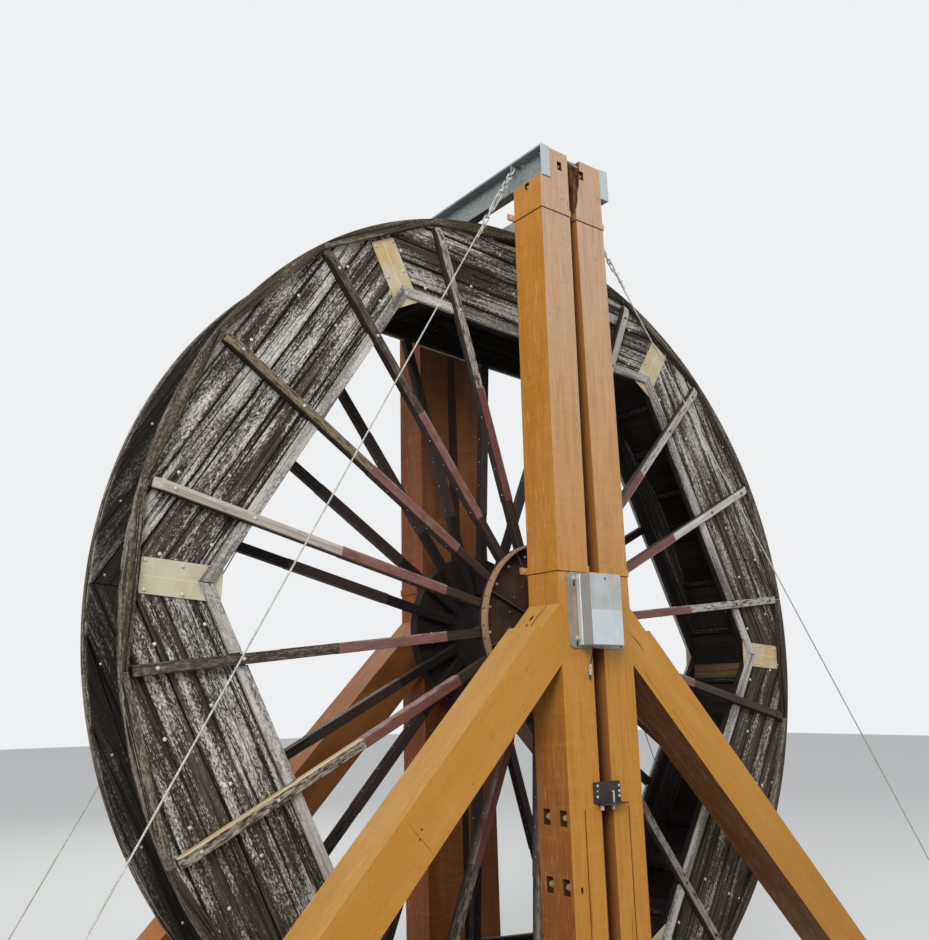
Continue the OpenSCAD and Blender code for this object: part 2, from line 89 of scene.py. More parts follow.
class Nodes:
    """Short calls for building a node tree. Colours may be written as lin reads them."""

    def __init__(self, owner):
        owner.use_nodes = True
        self.nt = owner.node_tree

    def put(self, socket, value):
        if isinstance(value, bpy.types.NodeSocket):
            self.nt.links.new(value, socket)
        else:
            socket.default_value = lin(value) if isinstance(value, str) else value

    def node(self, kind, inputs=None, **props):
        n = self.nt.nodes.new(kind)
        for key, value in props.items():
            setattr(n, key, value)
        for key, value in (inputs or {}).items():
            self.put(n.inputs[key], value)
        return n

    def coords(self):
        return self.node("ShaderNodeTexCoord").outputs["Object"]

    def attr(self, name, out="Vector"):
        return self.node("ShaderNodeAttribute", attribute_name=name).outputs[out]

    def split(self, vec):
        return self.node("ShaderNodeSeparateXYZ", {0: vec}).outputs

    def normal(self):
        return self.split(self.node("ShaderNodeNewGeometry").outputs["Normal"])

    def scaled(self, vec, scale, rot=(0, 0, 0)):
        return self.node("ShaderNodeMapping", {"Vector": vec, "Scale": scale, "Rotation": rot}).outputs[0]

    def noise(self, vec, scale, detail, rough, twist=0.0):
        inputs = {"Vector": vec, "Scale": scale, "Detail": detail, "Roughness": rough,
                  "Distortion": twist}
        return self.node("ShaderNodeTexNoise", inputs).outputs["Fac"]

    def streaks(self, vec, scale, detail, rough, twist=0.0):
        """Noise with a scale of its own along each axis."""
        return self.noise(self.scaled(vec, scale), 1.0, detail, rough, twist)

    def cells(self, vec, scale):
        color = self.node("ShaderNodeTexVoronoi", {"Vector": vec, "Scale": scale}).outputs["Color"]
        return self.split(color)[0]

    def math(self, op, a, b=0.0, clamp=False):
        return self.node("ShaderNodeMath", {0: a, 1: b}, operation=op, use_clamp=clamp).outputs[0]

    def add(self, a, b):
        return self.math("ADD", a, b)

    def sub(self, a, b):
        return self.math("SUBTRACT", a, b)

    def mul(self, a, b, clamp=False):
        return self.math("MULTIPLY", a, b, clamp)

    def size(self, a):
        return self.math("ABSOLUTE", a)

    def span(self, v, a, b, lo=0.0, hi=1.0):
        """The value taken from a to b over to lo to hi, and held at both ends."""
        return self.node("ShaderNodeMapRange", dict(enumerate((v, a, b, lo, hi))), clamp=True).outputs[0]

    def mix(self, fac, a, b, blend="MIX"):
        n = self.node("ShaderNodeMix", {0: fac, 6: a, 7: b}, data_type="RGBA", blend_type=blend)
        return n.outputs[2]

    def bump(self, height, strength, depth):
        inputs = {"Strength": strength, "Distance": depth, "Height": height}
        return self.node("ShaderNodeBump", inputs).outputs[0]

    def flank(self):
        """1 on faces square to the wheel's plane."""
        return self.sub(1.0, self.size(self.normal()[1]))

    def seen(self):
        """1 for the rays that show a surface, 0 for those that it lights other things by."""
        path = self.node("ShaderNodeLightPath").outputs
        return self.math("ADD", path["Is Camera Ray"], path["Is Glossy Ray"], True)


class Shader(Nodes):
    """One material, built up and then closed with done."""

    def __init__(self, name, rough=0.7, metal=0.0, spec=0.5):
        self.mat = bpy.data.materials.new(name)
        super().__init__(self.mat)
        self.bsdf = self.nt.nodes["Principled BSDF"].inputs
        self.bsdf["Roughness"].default_value = rough
        self.bsdf["Metallic"].default_value = metal
        self.bsdf["Specular IOR Level"].default_value = spec

    def done(self, color, rough=None, normal=None):
        for key, value in (("Base Color", color), ("Roughness", rough), ("Normal", normal)):
            if value is not None:
                self.put(self.bsdf[key], value)
        return self.mat


def old_boards(name, dark, mid, paint_a, paint_b, bare=0.5, cracked=1.0):
    """Weathered boards with flecks of old paint.

    The tint attribute holds paint, dirt and warmth, and place the distances from the two long edges. A
    large dirt value is painted shade.
    """
    s = Shader(name, rough=0.9, spec=0.2)
    gp = s.attr("grain")
    paint, dirt, warmth = s.split(s.attr("tint"))
    near, far, _ = s.split(s.attr("place"))
    streak = s.streaks(gp, (1.6, 40, 40), 6, 0.62, 0.4)
    fine = s.streaks(gp, (9, 190, 190), 4, 0.7)
    blotch = s.streaks(gp, (1.3, 9, 9), 5, 0.6)
    edge = s.add(s.math("MINIMUM", near, far), s.mul(s.sub(streak, 0.5), 0.03))
    wood = s.mix(s.span(streak, 0.36, 0.64), dark, mid)
    wood = s.mix(s.mul(warmth, s.span(blotch, 0.3, 0.6, 0, 0.45)), wood, "584833")
    wood = s.mix(s.span(fine, 0.42, 0.7, 0, 0.7), wood, dark)
    # Flecks hold on in streaks along the grain, more of them on some boards, fewer at the joints
    flake = s.add(s.mul(s.streaks(gp, (48, 112, 112), 8, 0.76, 0.1), 0.8), s.mul(streak, 0.2))
    bar = s.sub(bare, s.span(blotch, 0.34, 0.66, -0.1, 0.1))
    bar = s.add(bar, s.mul(s.span(edge, 0.004, 0.03, 1, 0), 0.06))
    left = s.span(s.sub(flake, s.sub(bar, s.mul(paint, 0.06))), -0.035, 0.055)
    crack = s.mul(s.span(s.streaks(gp, (0.8, 48, 48), 4, 0.55, 0.8), 0.585, 0.63), cracked)
    left = s.mul(left, s.sub(1.0, crack), True)
    coat = s.mix(s.span(s.streaks(gp, (30, 110, 110), 5, 0.75), 0.36, 0.6), paint_a, paint_b)
    color = s.mix(s.mul(left, 0.95), wood, coat)
    color = s.mix(s.mul(crack, 0.85), color, "0f0d0c")
    # Dirt, and painted shade where the dirt value is large
    color = s.mix(dirt, color, "1b1815")
    # Darker along the long edges: dark joints, and on the plank beside the trim a painted shadow of the
    # trim
    color = s.mix(s.span(edge, 0.002, 0.012, 0.85, 0), color, "0f0d0b")
    h = s.add(s.add(s.mul(streak, 0.7), s.mul(fine, 0.35)), s.mul(left, 0.4))
    return s.done(color, None, s.bump(s.sub(h, crack), 0.8, 0.004))


def spoke_paint():
    """Worn paint on a spoke, in the colour of the tint attribute, and bare wood near the hub.

    The place attribute holds the radius, the share of paint kept and how far it lies toward the dark flank:
    painted shade on the lower flank, bare wood on the upper flank of the spokes bare above, and painted
    shade on both flanks of the back side's spokes.
    """
    s = Shader("spoke_paint", rough=0.78, spec=0.25)
    gp = s.attr("grain")
    radius, kept, low = s.split(s.attr("place"))
    tint = s.attr("tint", "Color")
    streak = s.streaks(gp, (2, 60, 60), 6, 0.65)
    wear = s.streaks(gp, (15, 66, 66), 8, 0.74)
    outer = s.mix(s.span(streak, 0.3, 0.7), s.mix(1.0, tint, "b4ada4", "MULTIPLY"), tint)
    bare = s.mix(s.span(streak, 0.35, 0.65), "261f1a", "4b3e33")
    outer = s.mix(s.span(s.sub(wear, kept), -0.05, 0.05), outer, bare)
    edge = s.add(radius, s.mul(s.sub(wear, 0.5), 0.03))
    inner = s.mix(s.span(streak, 0.35, 0.65), "241a15", "46352a")
    # Painted shade: near the hub, the faces that carry the dark wood tint go near black
    inner = s.mix(s.span(s.split(tint)[0], 0.012, 0.08), "120e0c", inner)
    color = s.mix(s.span(edge, 0.99, 1.01), inner, outer)
    # Painted shade darkens the flank that faces down; on the spokes bare above the darkened flank is their
    # bare upper one, and on the back side both flanks
    color = s.mix(s.mul(s.flank(), s.span(low, 0.0, 0.01, 0.1, 0.85)), color, "221a15")
    return s.done(color, None, s.bump(s.add(streak, s.mul(wear, 0.5)), 0.6, 0.002))


def sleeve_paint():
    """Dull red paint on the middle of a spoke, chalky, with a painted highlight on its upper flank and
    painted shade in dark red on its lower flank.

    The tint attribute holds chalk, shade and how far below the middle it is.
    """
    s = Shader("sleeve_paint", rough=0.6, spec=0.35)
    gp = s.attr("grain")
    chalk, shade, low = s.split(s.attr("tint"))
    wear = s.streaks(gp, (7, 18, 18), 8, 0.74)
    fine = s.streaks(gp, (3, 80, 80), 4, 0.6)
    red = s.mix(s.span(fine, 0.3, 0.7), "613930", "784d42")
    red = s.mix(s.span(s.streaks(gp, (2.2, 7, 7), 5, 0.6), 0.42, 0.66, 0, 0.55), red, "5a352d")
    # Chalk on the face, and a painted highlight along the upper flank
    rim = s.math("MAXIMUM", s.mul(chalk, 0.6), s.span(low, -0.018, -0.03))
    red = s.mix(s.mul(rim, s.span(wear, 0.4, 0.6)), red, "a5918a")
    red = s.mix(s.span(wear, 0.6, 0.68, 0, 0.7), red, "35211b")
    # Painted shade: the lower flank goes dark red
    color = s.mix(s.mul(s.flank(), s.span(low, 0.0, 0.01, 0.25, 0.9)), red, "2c1a16")
    color = s.mix(shade, color, "14100e")
    return s.done(color, s.span(wear, 0.3, 0.7, 0.5, 0.75), s.bump(wear, 0.3, 0.0015))


def plate_paint():
    """Cream paint on a corner plate, yellower by the tint attribute, with grey clouds and some rust."""
    s = Shader("plate_paint", rough=0.55, spec=0.35)
    pos = s.coords()
    cloud = s.noise(pos, 6, 6, 0.6)
    grit = s.noise(pos, 75, 5, 0.7)
    color = s.mix(s.split(s.attr("tint"))[0], "b5b19b", "bd9a50")
    color = s.mix(s.span(cloud, 0.44, 0.6, 0, 0.6), color, "c4bfab")
    color = s.mix(s.span(s.noise(pos, 13, 7, 0.72), 0.55, 0.68, 0, 0.6), color, "a6a49b")
    color = s.mix(s.span(grit, 0.6, 0.75, 0, 0.4), color, "8d7444")
    return s.done(color, s.span(cloud, 0.3, 0.7, 0.47, 0.67), s.bump(grit, 0.2, 0.001))


def within(s, values, spans, soft=0.001):
    """1 where every value is between its two limits."""
    mask = None
    for v, (a, b) in zip(values, spans):
        inside = s.mul(s.span(v, a - soft, a), s.span(v, b, b + soft, 1, 0))
        mask = inside if mask is None else s.mul(mask, inside)
    return mask


# Inner faces of the posts' recesses and pockets, painted dark as shade: limits of |x|, |y| and z
RECESSES = (
    ((0.08, 0.142), (0.81, 0.8605), (6.43, 6.53)),
    ((0.27, 0.309), (0.69, 0.755), (6.28, 6.355)),
    ((0.30, 0.3345), (0.62, 0.84), (1.92, 2.03)),
    ((0.30, 0.3345), (0.62, 0.84), (1.52, 1.63)))
# The right front timber's rotted corner: limits of x, y and z
ROTTED = ((0.0, 0.108), (-0.8605, -0.81), (6.16, 6.6))


def hollows(s, color, place, front, gap, gap_edge):
    """Painted shade: dark faces in the gap between the timbers, darker deeper in, and in the recesses."""
    x, y, z = place
    flat = (s.size(x), s.size(y), z)
    in_gap = s.mul(s.span(flat[0], 0.0565, 0.058, 1, 0), s.sub(1.0, front))
    depth = s.span(flat[1], POST_FRONT - 0.09, POST_FRONT - 0.004)
    color = s.mix(s.mul(in_gap, 0.85), color, s.mix(depth, gap, gap_edge))
    for spans in RECESSES:
        color = s.mix(s.mul(within(s, flat, spans), 0.9), color, "2a1a0e")
    return color


def bare_corner(s, color, place, streak, fine, nick):
    """Bare wood with black specks in the rotted corner."""
    bare = s.mix(s.span(streak, 0.4, 0.6), "3a2413", "8a5c34")
    bare = s.mix(s.span(nick, 0, 1), s.mix(s.span(fine, 0.4, 0.6), bare, "1c120a"), "0c0806")
    return s.mix(within(s, place, ROTTED), color, bare)


# The two gap colours are painted shade in the gap between the timbers, deep in and near the front
def posts_paint(name, low, high, flank, turn=0.0, high_z=(2.9, 6.0), flank_low=None, rot=False,
                gap="371b0b", gap_edge="97602c"):
    """Painted sawn timber. The grain runs up, or along a brace when turned about y."""
    s = Shader(name, rough=0.6, spec=0.3)
    pos = s.coords()
    along = s.scaled(pos, (1, 1, 1), (0, turn, 0))
    streak = s.streaks(along, (26, 26, 2.0), 8, 0.72, 1.1)
    fine = s.streaks(along, (150, 150, 16), 5, 0.7)
    saw = s.streaks(along, (4, 4, 42), 3, 0.6)
    place = s.split(pos)
    z = place[2]
    _, ny, nz = s.normal()
    facing = s.size(ny)
    front = s.span(facing, 0.3, 0.8)
    # Painted shade: the flanks turn darker below the shoulder, for the brace's shadow on the posts
    side = s.mix(s.span(z, 1.6, 3.2), flank_low or flank, flank)
    base = s.mix(front, side, s.mix(s.span(z, *high_z), low, high))
    # Painted shade on faces that look down
    base = s.mix(s.span(nz, -0.3, -0.6, 0, 0.85), base, "4c2c15")
    # Streaks, clouds, pores and saw marks
    deep = s.mix(0.16 if turn else 0.34, base, "6e4019")
    pale = s.mix(0.35, base, "e8c088")
    color = s.mix(s.span(streak, 0.3, 0.6), deep, base)
    color = s.mix(s.span(s.streaks(along, (7, 7, 1.2), 5, 0.6), 0.45, 0.75, 0, 0.3), color, pale)
    color = s.mix(s.span(fine, 0.5, 0.85, 0, 0.35), color, deep)
    color = s.mix(s.span(saw, 0.52, 0.75, 0, 0.1 if turn else 0.22), color, pale)
    color = s.mix(s.span(saw, 0.46, 0.3, 0, 0.2), color, deep)
    # Paler arrises: rubbed paint and painted highlight, the highlight stronger on a brace's upper arris
    arris_wear_and_highlight = s.mul(s.span(facing, 0.1, 0.3), s.span(facing, 0.97, 0.85))
    arris_wear_and_highlight = s.mul(arris_wear_and_highlight, s.span(nz, -0.1, 0.1, 0.35, 0.8 if turn else 0.35))
    color = s.mix(arris_wear_and_highlight, color, s.mix(0.6, base, "f0c88c"))
    # Drips and scratches of paler paint down the flanks
    drip = s.span(s.streaks(along, (105, 105, 6), 4, 0.62), 0.58, 0.66, 0, 0.85)
    color = s.mix(s.mul(drip, s.sub(1.0, front)), color, pale)
    # Drying cracks, more of them toward the top, and nicks
    crack = s.span(s.streaks(along, (48, 48, 1.3), 5, 0.6, 0.5), s.span(z, 4.5, 6.6, 0.675, 0.64), 0.70)
    nick = s.span(s.streaks(along, (70, 70, 16), 3, 0.6), 0.7, 0.725)
    crack = s.math("MAXIMUM", s.mul(crack, 0.7), nick)
    color = s.mix(s.mul(crack, 0.75), color, "4a2d15")
    if not turn:
        color = hollows(s, color, place, front, gap, gap_edge)
    if rot:
        color = bare_corner(s, color, place, streak, fine, nick)
    h = s.add(s.add(s.mul(streak, 0.6), s.mul(fine, 0.4)), s.mul(saw, 0.2))
    return s.done(color, s.span(streak, 0.3, 0.7, 0.68, 0.55), s.bump(s.sub(h, crack), 0.5, 0.002))


def zinc(name, a, b, rough=0.5, metal=0.35, cap=None):
    """Galvanised steel with its spangle. Beyond y of cap, front and back, the steel is paler."""
    s = Shader(name, rough=rough, metal=metal)
    pos = s.coords()
    cloud = s.noise(pos, 5, 5, 0.6)
    color = s.mix(s.cells(pos, 55), a, b)
    color = s.mix(s.span(cloud, 0.5, 0.8, 0, 0.4), color, "636d6e")
    color = s.mix(s.span(s.noise(pos, 30, 4, 0.6), 0.62, 0.72, 0, 0.4), color, "b9bfbe")
    if cap:
        away = s.size(s.split(pos)[1])
        color = s.mix(s.span(away, cap - 0.001, cap, 0, 0.45), color, "dfe6e8")
    return s.done(color, s.span(cloud, 0.3, 0.7, rough - 0.08, rough + 0.15), s.bump(cloud, 0.15, 0.001))


def iron(name, a, b, band=None):
    """Rusty iron. Past the radius called band, a hub's rim has worn tan paint, with painted shade on its
    part nearer the spokes.
    """
    s = Shader(name, rough=0.8, spec=0.25)
    pos = s.coords()
    cloud = s.noise(pos, 4.5, 6, 0.65)
    grit = s.noise(pos, 60, 5, 0.7)
    color = s.mix(s.span(cloud, 0.35, 0.65), a, b)
    color = s.mix(s.span(grit, 0.55, 0.75, 0, 0.5), color, "6e4a33")
    color = s.mix(s.span(grit, 0.25, 0.4, 0.5, 0), color, "1d1410")
    if band:
        x, y, z = s.split(pos)
        up = s.sub(z, AXLE_H)
        radius = s.math("SQRT", s.add(s.mul(x, x), s.mul(up, up)))
        tan = s.mix(s.span(grit, 0.35, 0.7), "8a6c50", "a88c70")
        tan = s.mix(s.span(cloud, 0.55, 0.7, 0, 0.8), tan, "7c5230")
        # Painted shade: the rim's part nearer the spokes is dark
        tan = s.mix(s.span(s.size(y), SPOKE_FACE + 0.018, SPOKE_FACE + 0.026), "2a1e17", tan)
        color = s.mix(s.span(radius, band - 0.001, band + 0.001), color, tan)
    return s.done(color, None, s.bump(s.add(grit, cloud), 0.5, 0.0015))


def painted(name, a, b, dirt, rough=0.5, metal=0.0, rust=None):
    """A coat with clouds of two colours, grit, and spots of rust where a colour is given."""
    s = Shader(name, rough=rough, metal=metal, spec=0.35)
    pos = s.coords()
    cloud = s.noise(pos, 9, 6, 0.6)
    grit = s.noise(pos, 81, 5, 0.7)
    color = s.mix(s.span(cloud, 0.35, 0.65), a, b)
    color = s.mix(s.span(grit, 0.55, 0.8, 0, 0.5), color, dirt)
    if rust:
        color = s.mix(s.span(s.noise(pos, 15.3, 7, 0.75), 0.56, 0.66, 0, 0.75), color, rust)
    return s.done(color, s.span(cloud, 0.3, 0.7, rough - 0.08, rough + 0.12), s.bump(grit, 0.2, 0.001))


def brushed(name, a, b, rough=0.42):
    """Brushed sheet steel."""
    s = Shader(name, rough=rough, metal=0.35)
    pos = s.coords()
    hair = s.streaks(pos, (260, 260, 3), 3, 0.6)
    cloud = s.noise(pos, 7, 5, 0.6)
    color = s.mix(s.span(hair, 0.3, 0.7), a, b)
    color = s.mix(s.span(cloud, 0.5, 0.75, 0, 0.35), color, "83847f")
    return s.done(color, s.span(cloud, 0.3, 0.7, rough - 0.06, rough + 0.14), s.bump(hair, 0.12, 0.0006))


LEFT_GRAIN, RIGHT_GRAIN = math.radians(-45), math.radians(45)
# Colours of the back braces, darker than the front ones: painted shade from the wheel
SHADED_BACK_BRACE = ("855021", "8b5826", "a05f24")
M = {
    "planks": old_boards("old_planks", "1b1714", "625749", "8e887d", "eae6de", 0.514),
    "strips": old_boards("old_strips", "2a231b", "5f5344", "70675a", "9c9384", 0.545),
    # Near black boards inside the wheel: painted shade
    "drum": old_boards("old_drum", "030202", "0d0a08", "1d1916", "59534b", 0.655),
    "tan_board": old_boards("tan_board", "4a3826", "806544", "8f7c60", "a89878", 0.68, 0.6),
    "trim": old_boards("old_trim", "5c574f", "9c978f", "aaa59d", "d2cec7", 0.48, 0.3),
    "spoke": spoke_paint(),
    "sleeve": sleeve_paint(),
    "post": posts_paint("post_paint", "bc802a", "c09f82", "b47622", flank_low="8a4b16", rot=True),
    "brace_l": posts_paint("brace_paint_left", "b47c2a", "b9802e", "b88842", LEFT_GRAIN, (0.9, 2.2)),
    "brace_r": posts_paint("brace_paint_right", "b37a2a", "bc832e", "a96c20", RIGHT_GRAIN, (1.2, 2.3)),
    # The back frame's timbers are darker than the front's: painted shade from the wheel
    "back_post": posts_paint("back_post_paint", "7c4517", "643c1c", "89430f",
                             gap="17100b", gap_edge="2c1a0f"),
    "back_brace_l": posts_paint("back_brace_paint_left", *SHADED_BACK_BRACE, LEFT_GRAIN),
    "back_brace_r": posts_paint("back_brace_paint_right", *SHADED_BACK_BRACE, RIGHT_GRAIN),
    "zinc": zinc("zinc", "7f8785", "969e9c"),
    "channel": zinc("channel_zinc", "7a8280", "929a98", cap=POST_FRONT - 0.003),
    "bolt": zinc("bolt_zinc", "a4a5a2", "d0cfca", 0.45, 0.2),
    "rope": zinc("rope_zinc", "a9a79f", "c8c5bc", 0.55, 0.2),
    "iron": iron("iron", "3a281f", "5f4232"),
    "hub": iron("hub_iron", "33241c", "553a2b", HUB_R - 0.0125),
    # The back hub all dark: painted shade inside the wheel
    "back_hub": iron("back_hub_iron", "120e0b", "241b16"),
    "cream": plate_paint(),
    # Paler paint on the plates' creases: painted highlight
    "cream_edge": painted("cream_edge_paint", "d8d0b4", "cdc29a", "a89a70"),
    "box": brushed("box_metal", "a3a6a5", "b3b6b6"),
    "box_skirt": brushed("box_skirt_metal", "96989a", "a9abab"),
    "box_case": brushed("box_case_metal", "bebebb", "d4d4d0"),
    "box_panel": painted("box_panel_paint", "c6cfd3", "bcc6ca", "aab3b8"),
    "box_back": painted("box_back_metal", "8a8478", "9c968a", "6b6150", metal=0.15, rust="8b6f4a"),
    "tan": painted("tan_paint", "9c7a55", "b3946c", "5e4630", 0.6),
    "black": painted("black_steel", "2b2725", "39332f", "5e5148", 0.55, 0.3),
    "axle": painted("axle_steel", "5c5a57", "6f6c68", "3d322a", 0.45, 0.5),
    "dark": painted("dark_gap", "1c140d", "241a11", "120d09", 0.9),
    # Brown for the painted shadow under the straps and for the brace's joint lines
    "brown": painted("old_sealant", "4a2c18", "5c3a20", "2c1a0e", 0.9),
}


# Mesh tools


class Build:
    """Collects boards, turned pieces and bars into one mesh.

    Each point carries grain, where it lies in its board, and tint and place as its material reads them.
    """

    def __init__(self):
        self.v, self.f, self.grain, self.tint, self.place = [], [], [], [], []

    def point(self, p, grain, tint=(0, 0, 0), place=(0, 0, 0)):
        self.v.append(p)
        self.grain.append(grain)
        self.tint.append(tint)
        self.place.append(place)

    def shell(self, base, rings, n, put):
        """Faces between rings of n points each, and over both ends."""
        o = put(0, 0, 0)
        flip = (put(1, 0, 0) - o).cross(put(0, 1, 0) - o).dot(put(0, 0, 1) - o) < 0
        faces = [[base + i for i in reversed(range(n))], [base + (rings - 1) * n + i for i in range(n)]]
        for k in range(rings - 1):
            a = base + k * n
            faces += [[a + i, a + (i + 1) % n, a + n + (i + 1) % n, a + n + i] for i in range(n)]
        self.f += [tuple(reversed(q)) if flip else tuple(q) for q in faces]

    def prism(self, poly, w0, w1, put, grain=ALONG_X, chamfer=0.003, tint=(0, 0, 0), place=(1, 1, 0)):
        """A board: poly is its outline, w0 and w1 its faces, grain its direction in (x, y, w)."""
        g = Vector(grain).normalized()
        side = g.cross(Vector(ALONG_H if abs(g.z) < 0.9 else ALONG_X)).normalized()
        third = g.cross(side)
        shift = Vector((rnd.uniform(0, 60), rnd.uniform(0, 60), rnd.uniform(0, 9)))
        inner = inset(poly, chamfer)
        base = len(self.v)
        for ring, w in ((inner, w0), (poly, w0 + chamfer), (poly, w1 - chamfer), (inner, w1)):
            for x, y in ring:
                p = Vector((x, y, w))
                self.point(put(x, y, w), Vector((p.dot(g), p.dot(side), p.dot(third))) + shift,
                           tint(x, y, w) if callable(tint) else tint,
                           place(x, y, w) if callable(place) else place)
        self.shell(base, 4, len(poly), put)

    def turned(self, profile, put, sides=12):
        """A turned piece: profile is (radius, height) up its axis, closed at both ends."""
        base = len(self.v)
        for r, h in profile:
            for i in range(sides):
                a = 2 * math.pi * (i + 0.5) / sides
                p = (r * math.cos(a), r * math.sin(a), h)
                self.point(put(*p), p)
        self.shell(base, len(profile), sides, put)

    def tube(self, path, radius, sides=8, closed=False, lobes=0, pitch=0.09):
        """A round bar along a path of points. With lobes it is a laid rope."""
        pts = [Vector(p) for p in path]
        n, base, up, run = len(pts), len(self.v), None, 0.0
        for i, p in enumerate(pts):
            nxt = pts[(i + 1) % n] if closed or i < n - 1 else p
            prv = pts[i - 1] if closed or i > 0 else p
            t = (nxt - prv).normalized()
            up = t.orthogonal() if up is None else up
            up = (up - t * up.dot(t)).normalized()
            side = t.cross(up)
            run += (p - pts[i - 1]).length if i else 0.0
            for k in range(sides):
                a = 2 * math.pi * k / sides
                r = radius * (0.9 + 0.1 * math.cos(lobes * a)) if lobes else radius
                b = a + 2 * math.pi * run / pitch if lobes else a
                self.point(p + (up * math.cos(b) + side * math.sin(b)) * r,
                           (run, r * math.cos(a), r * math.sin(a)))
        for i in range(n if closed else n - 1):
            a, b = base + i * sides, base + (i + 1) % n * sides
            self.f += [(a + k, a + (k + 1) % sides, b + (k + 1) % sides, b + k) for k in range(sides)]
        if not closed:
            self.f.append(tuple(base + k for k in reversed(range(sides))))
            self.f.append(tuple(base + (n - 1) * sides + k for k in range(sides)))

    def make(self, name, mat, body, nodes=(), slot=None, smooth=False):
        me = bpy.data.meshes.new(name)
        me.from_pydata(self.v, [], self.f)
        for key, data in (("grain", self.grain), ("tint", self.tint), ("place", self.place)):
            at = me.attributes.new(key, "FLOAT_VECTOR", "POINT")
            at.data.foreach_set("vector", [c for v in data for c in v])
        me.materials.append(M[mat])
        me.validate()
        ob = bpy.data.objects.new(name, me)
        bpy.context.scene.collection.objects.link(ob)
        if smooth:
            me.shade_smooth()
            me.set_sharp_from_angle(angle=math.radians(40))
        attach(ob, body)
        if nodes:
            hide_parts(*nodes)


def soften(ob, width):
    m = ob.modifiers.new("edges", "BEVEL")
    m.width = width
    m.segments = 2
    m.limit_method = "ANGLE"
    m.angle_limit = math.radians(40)


def inset(poly, d):
    """The outline drawn in by d all round."""
    n = len(poly)
    out = []
    for i in range(n):
        p0, p1, p2 = Vector(poly[i - 1]), Vector(poly[i]), Vector(poly[(i + 1) % n])
        a, b = (p1 - p0).normalized(), (p2 - p1).normalized()
        na, nb = Vector((-a.y, a.x)), Vector((-b.y, b.x))
        m = na + nb
        k = m.length_squared
        m = m * (2 * d / k) if k > 0.2 else na * d
        out.append((p1.x + m.x, p1.y + m.y))
    return out


def clip(poly, nx, ny, c):
    """The part of the outline where nx x + ny y <= c."""
    out = []
    for i, p in enumerate(poly):
        q = poly[(i + 1) % len(poly)]
        dp, dq = nx * p[0] + ny * p[1] - c, nx * q[0] + ny * q[1] - c
        if dp <= 0:
            out.append(p)
        if (dp < 0 < dq) or (dq < 0 < dp):
            t = dp / (dp - dq)
            out.append((p[0] + t * (q[0] - p[0]), p[1] + t * (q[1] - p[1])))
    return out


def wedge(poly, half, gap):
    """The part of the outline within half an angle of the x axis, less half a joint of that gap."""
    s, c = math.sin(half), math.cos(half)
    return clip(clip(poly, -s, c, -gap / 2), -s, -c, -gap / 2)


def tidy(poly, least=0.002):
    """The outline without points that all but touch."""
    out = []
    for p in poly:
        if not out or math.dist(p, out[-1]) > least:
            out.append(p)
    while len(out) > 2 and math.dist(out[0], out[-1]) <= least:
        out.pop()
    return out


def rough_edge(poly, step, amount):
    """Points added along the outline, each moved inward a little, for edges that have worn."""
    out = []
    n = len(poly)
    for i in range(n):
        p, q = Vector(poly[i]), Vector(poly[(i + 1) % n])
        d = q - p
        out.append(tuple(p))
        k = int(d.length / step)
        if k < 2:
            continue
        inward = Vector((-d.y, d.x)).normalized()
        for j in range(1, k):
            t = (j + rnd.uniform(-0.2, 0.2)) / k
            out.append(tuple(p + d * t + inward * rnd.uniform(0.0, amount)))
    return out


def fan(r, half, n):
    """A sector of a disc about the x axis, which planks are cut from."""
    return [(0.0, 0.0)] + [(r * math.cos(t), r * math.sin(t))
                           for t in (half * (2 * i / n - 1) for i in range(n + 1))]


def rounded(w, h, r, n=4):
    """A rectangle with rounded corners about the origin."""
    poly = []
    for sx, sy, a in ((1, 1, 0), (-1, 1, 90), (-1, -1, 180), (1, -1, 270)):
        for k in range(n + 1):
            t = math.radians(a + 90 * k / n)
            poly.append((sx * (w / 2 - r) + r * math.cos(t), sy * (h / 2 - r) + r * math.sin(t)))
    return poly


def box(w, h):
    return [(-w / 2, -h / 2), (w / 2, -h / 2), (w / 2, h / 2), (-w / 2, h / 2)]


def moved(poly, x, y):
    return [(p[0] + x, p[1] + y) for p in poly]


# Placing: each gives a function that takes a piece's own (x, y, height) to a place in the scene


def on_wheel(turn, side):
    """The wheel's plane, turned by turn degrees, with heights out of that side."""
    a = math.radians(TURN + turn)
    ca, sa = math.cos(a), math.sin(a)
    return lambda x, y, w: Vector((x * ca - y * sa, side * w, AXLE_H + x * sa + y * ca))


def at(put, x, y, w=0.0):
    """The same frame moved to (x, y, w)."""
    return lambda a, b, h: put(x + a, y + b, w + h)


def facing_y(x, y, z, side=-1):
    """Upright plane that faces the front, or the back with side 1."""
    return lambda a, b, h: Vector((x + a, y + side * h, z + b))


def facing_x(x, y, z, hand):
    """Upright plane that faces left or right."""
    return lambda a, b, h: Vector((x + hand * h, y + a, z + b))


def facing_up(x, y, z):
    return lambda a, b, h: Vector((x + a, y + b, z + h))


def on_brace(hand, s, t, face):
    """A brace's front face or its upper slope: s along it from the shoulder, t across."""
    d = Vector((hand, 0, -1)).normalized()
    up = Vector((hand, 0, 1)).normalized()
    o = Vector((hand * POST_SIDE, 0, SHOULDER)) + d * s
    if face == "front":
        return lambda a, b, h: o + d * a - up * (t - b) + Vector((0, -POST_FRONT - h, 0))
    return lambda a, b, h: o + d * a + up * h + Vector((0, -POST_FRONT + t + b, 0))


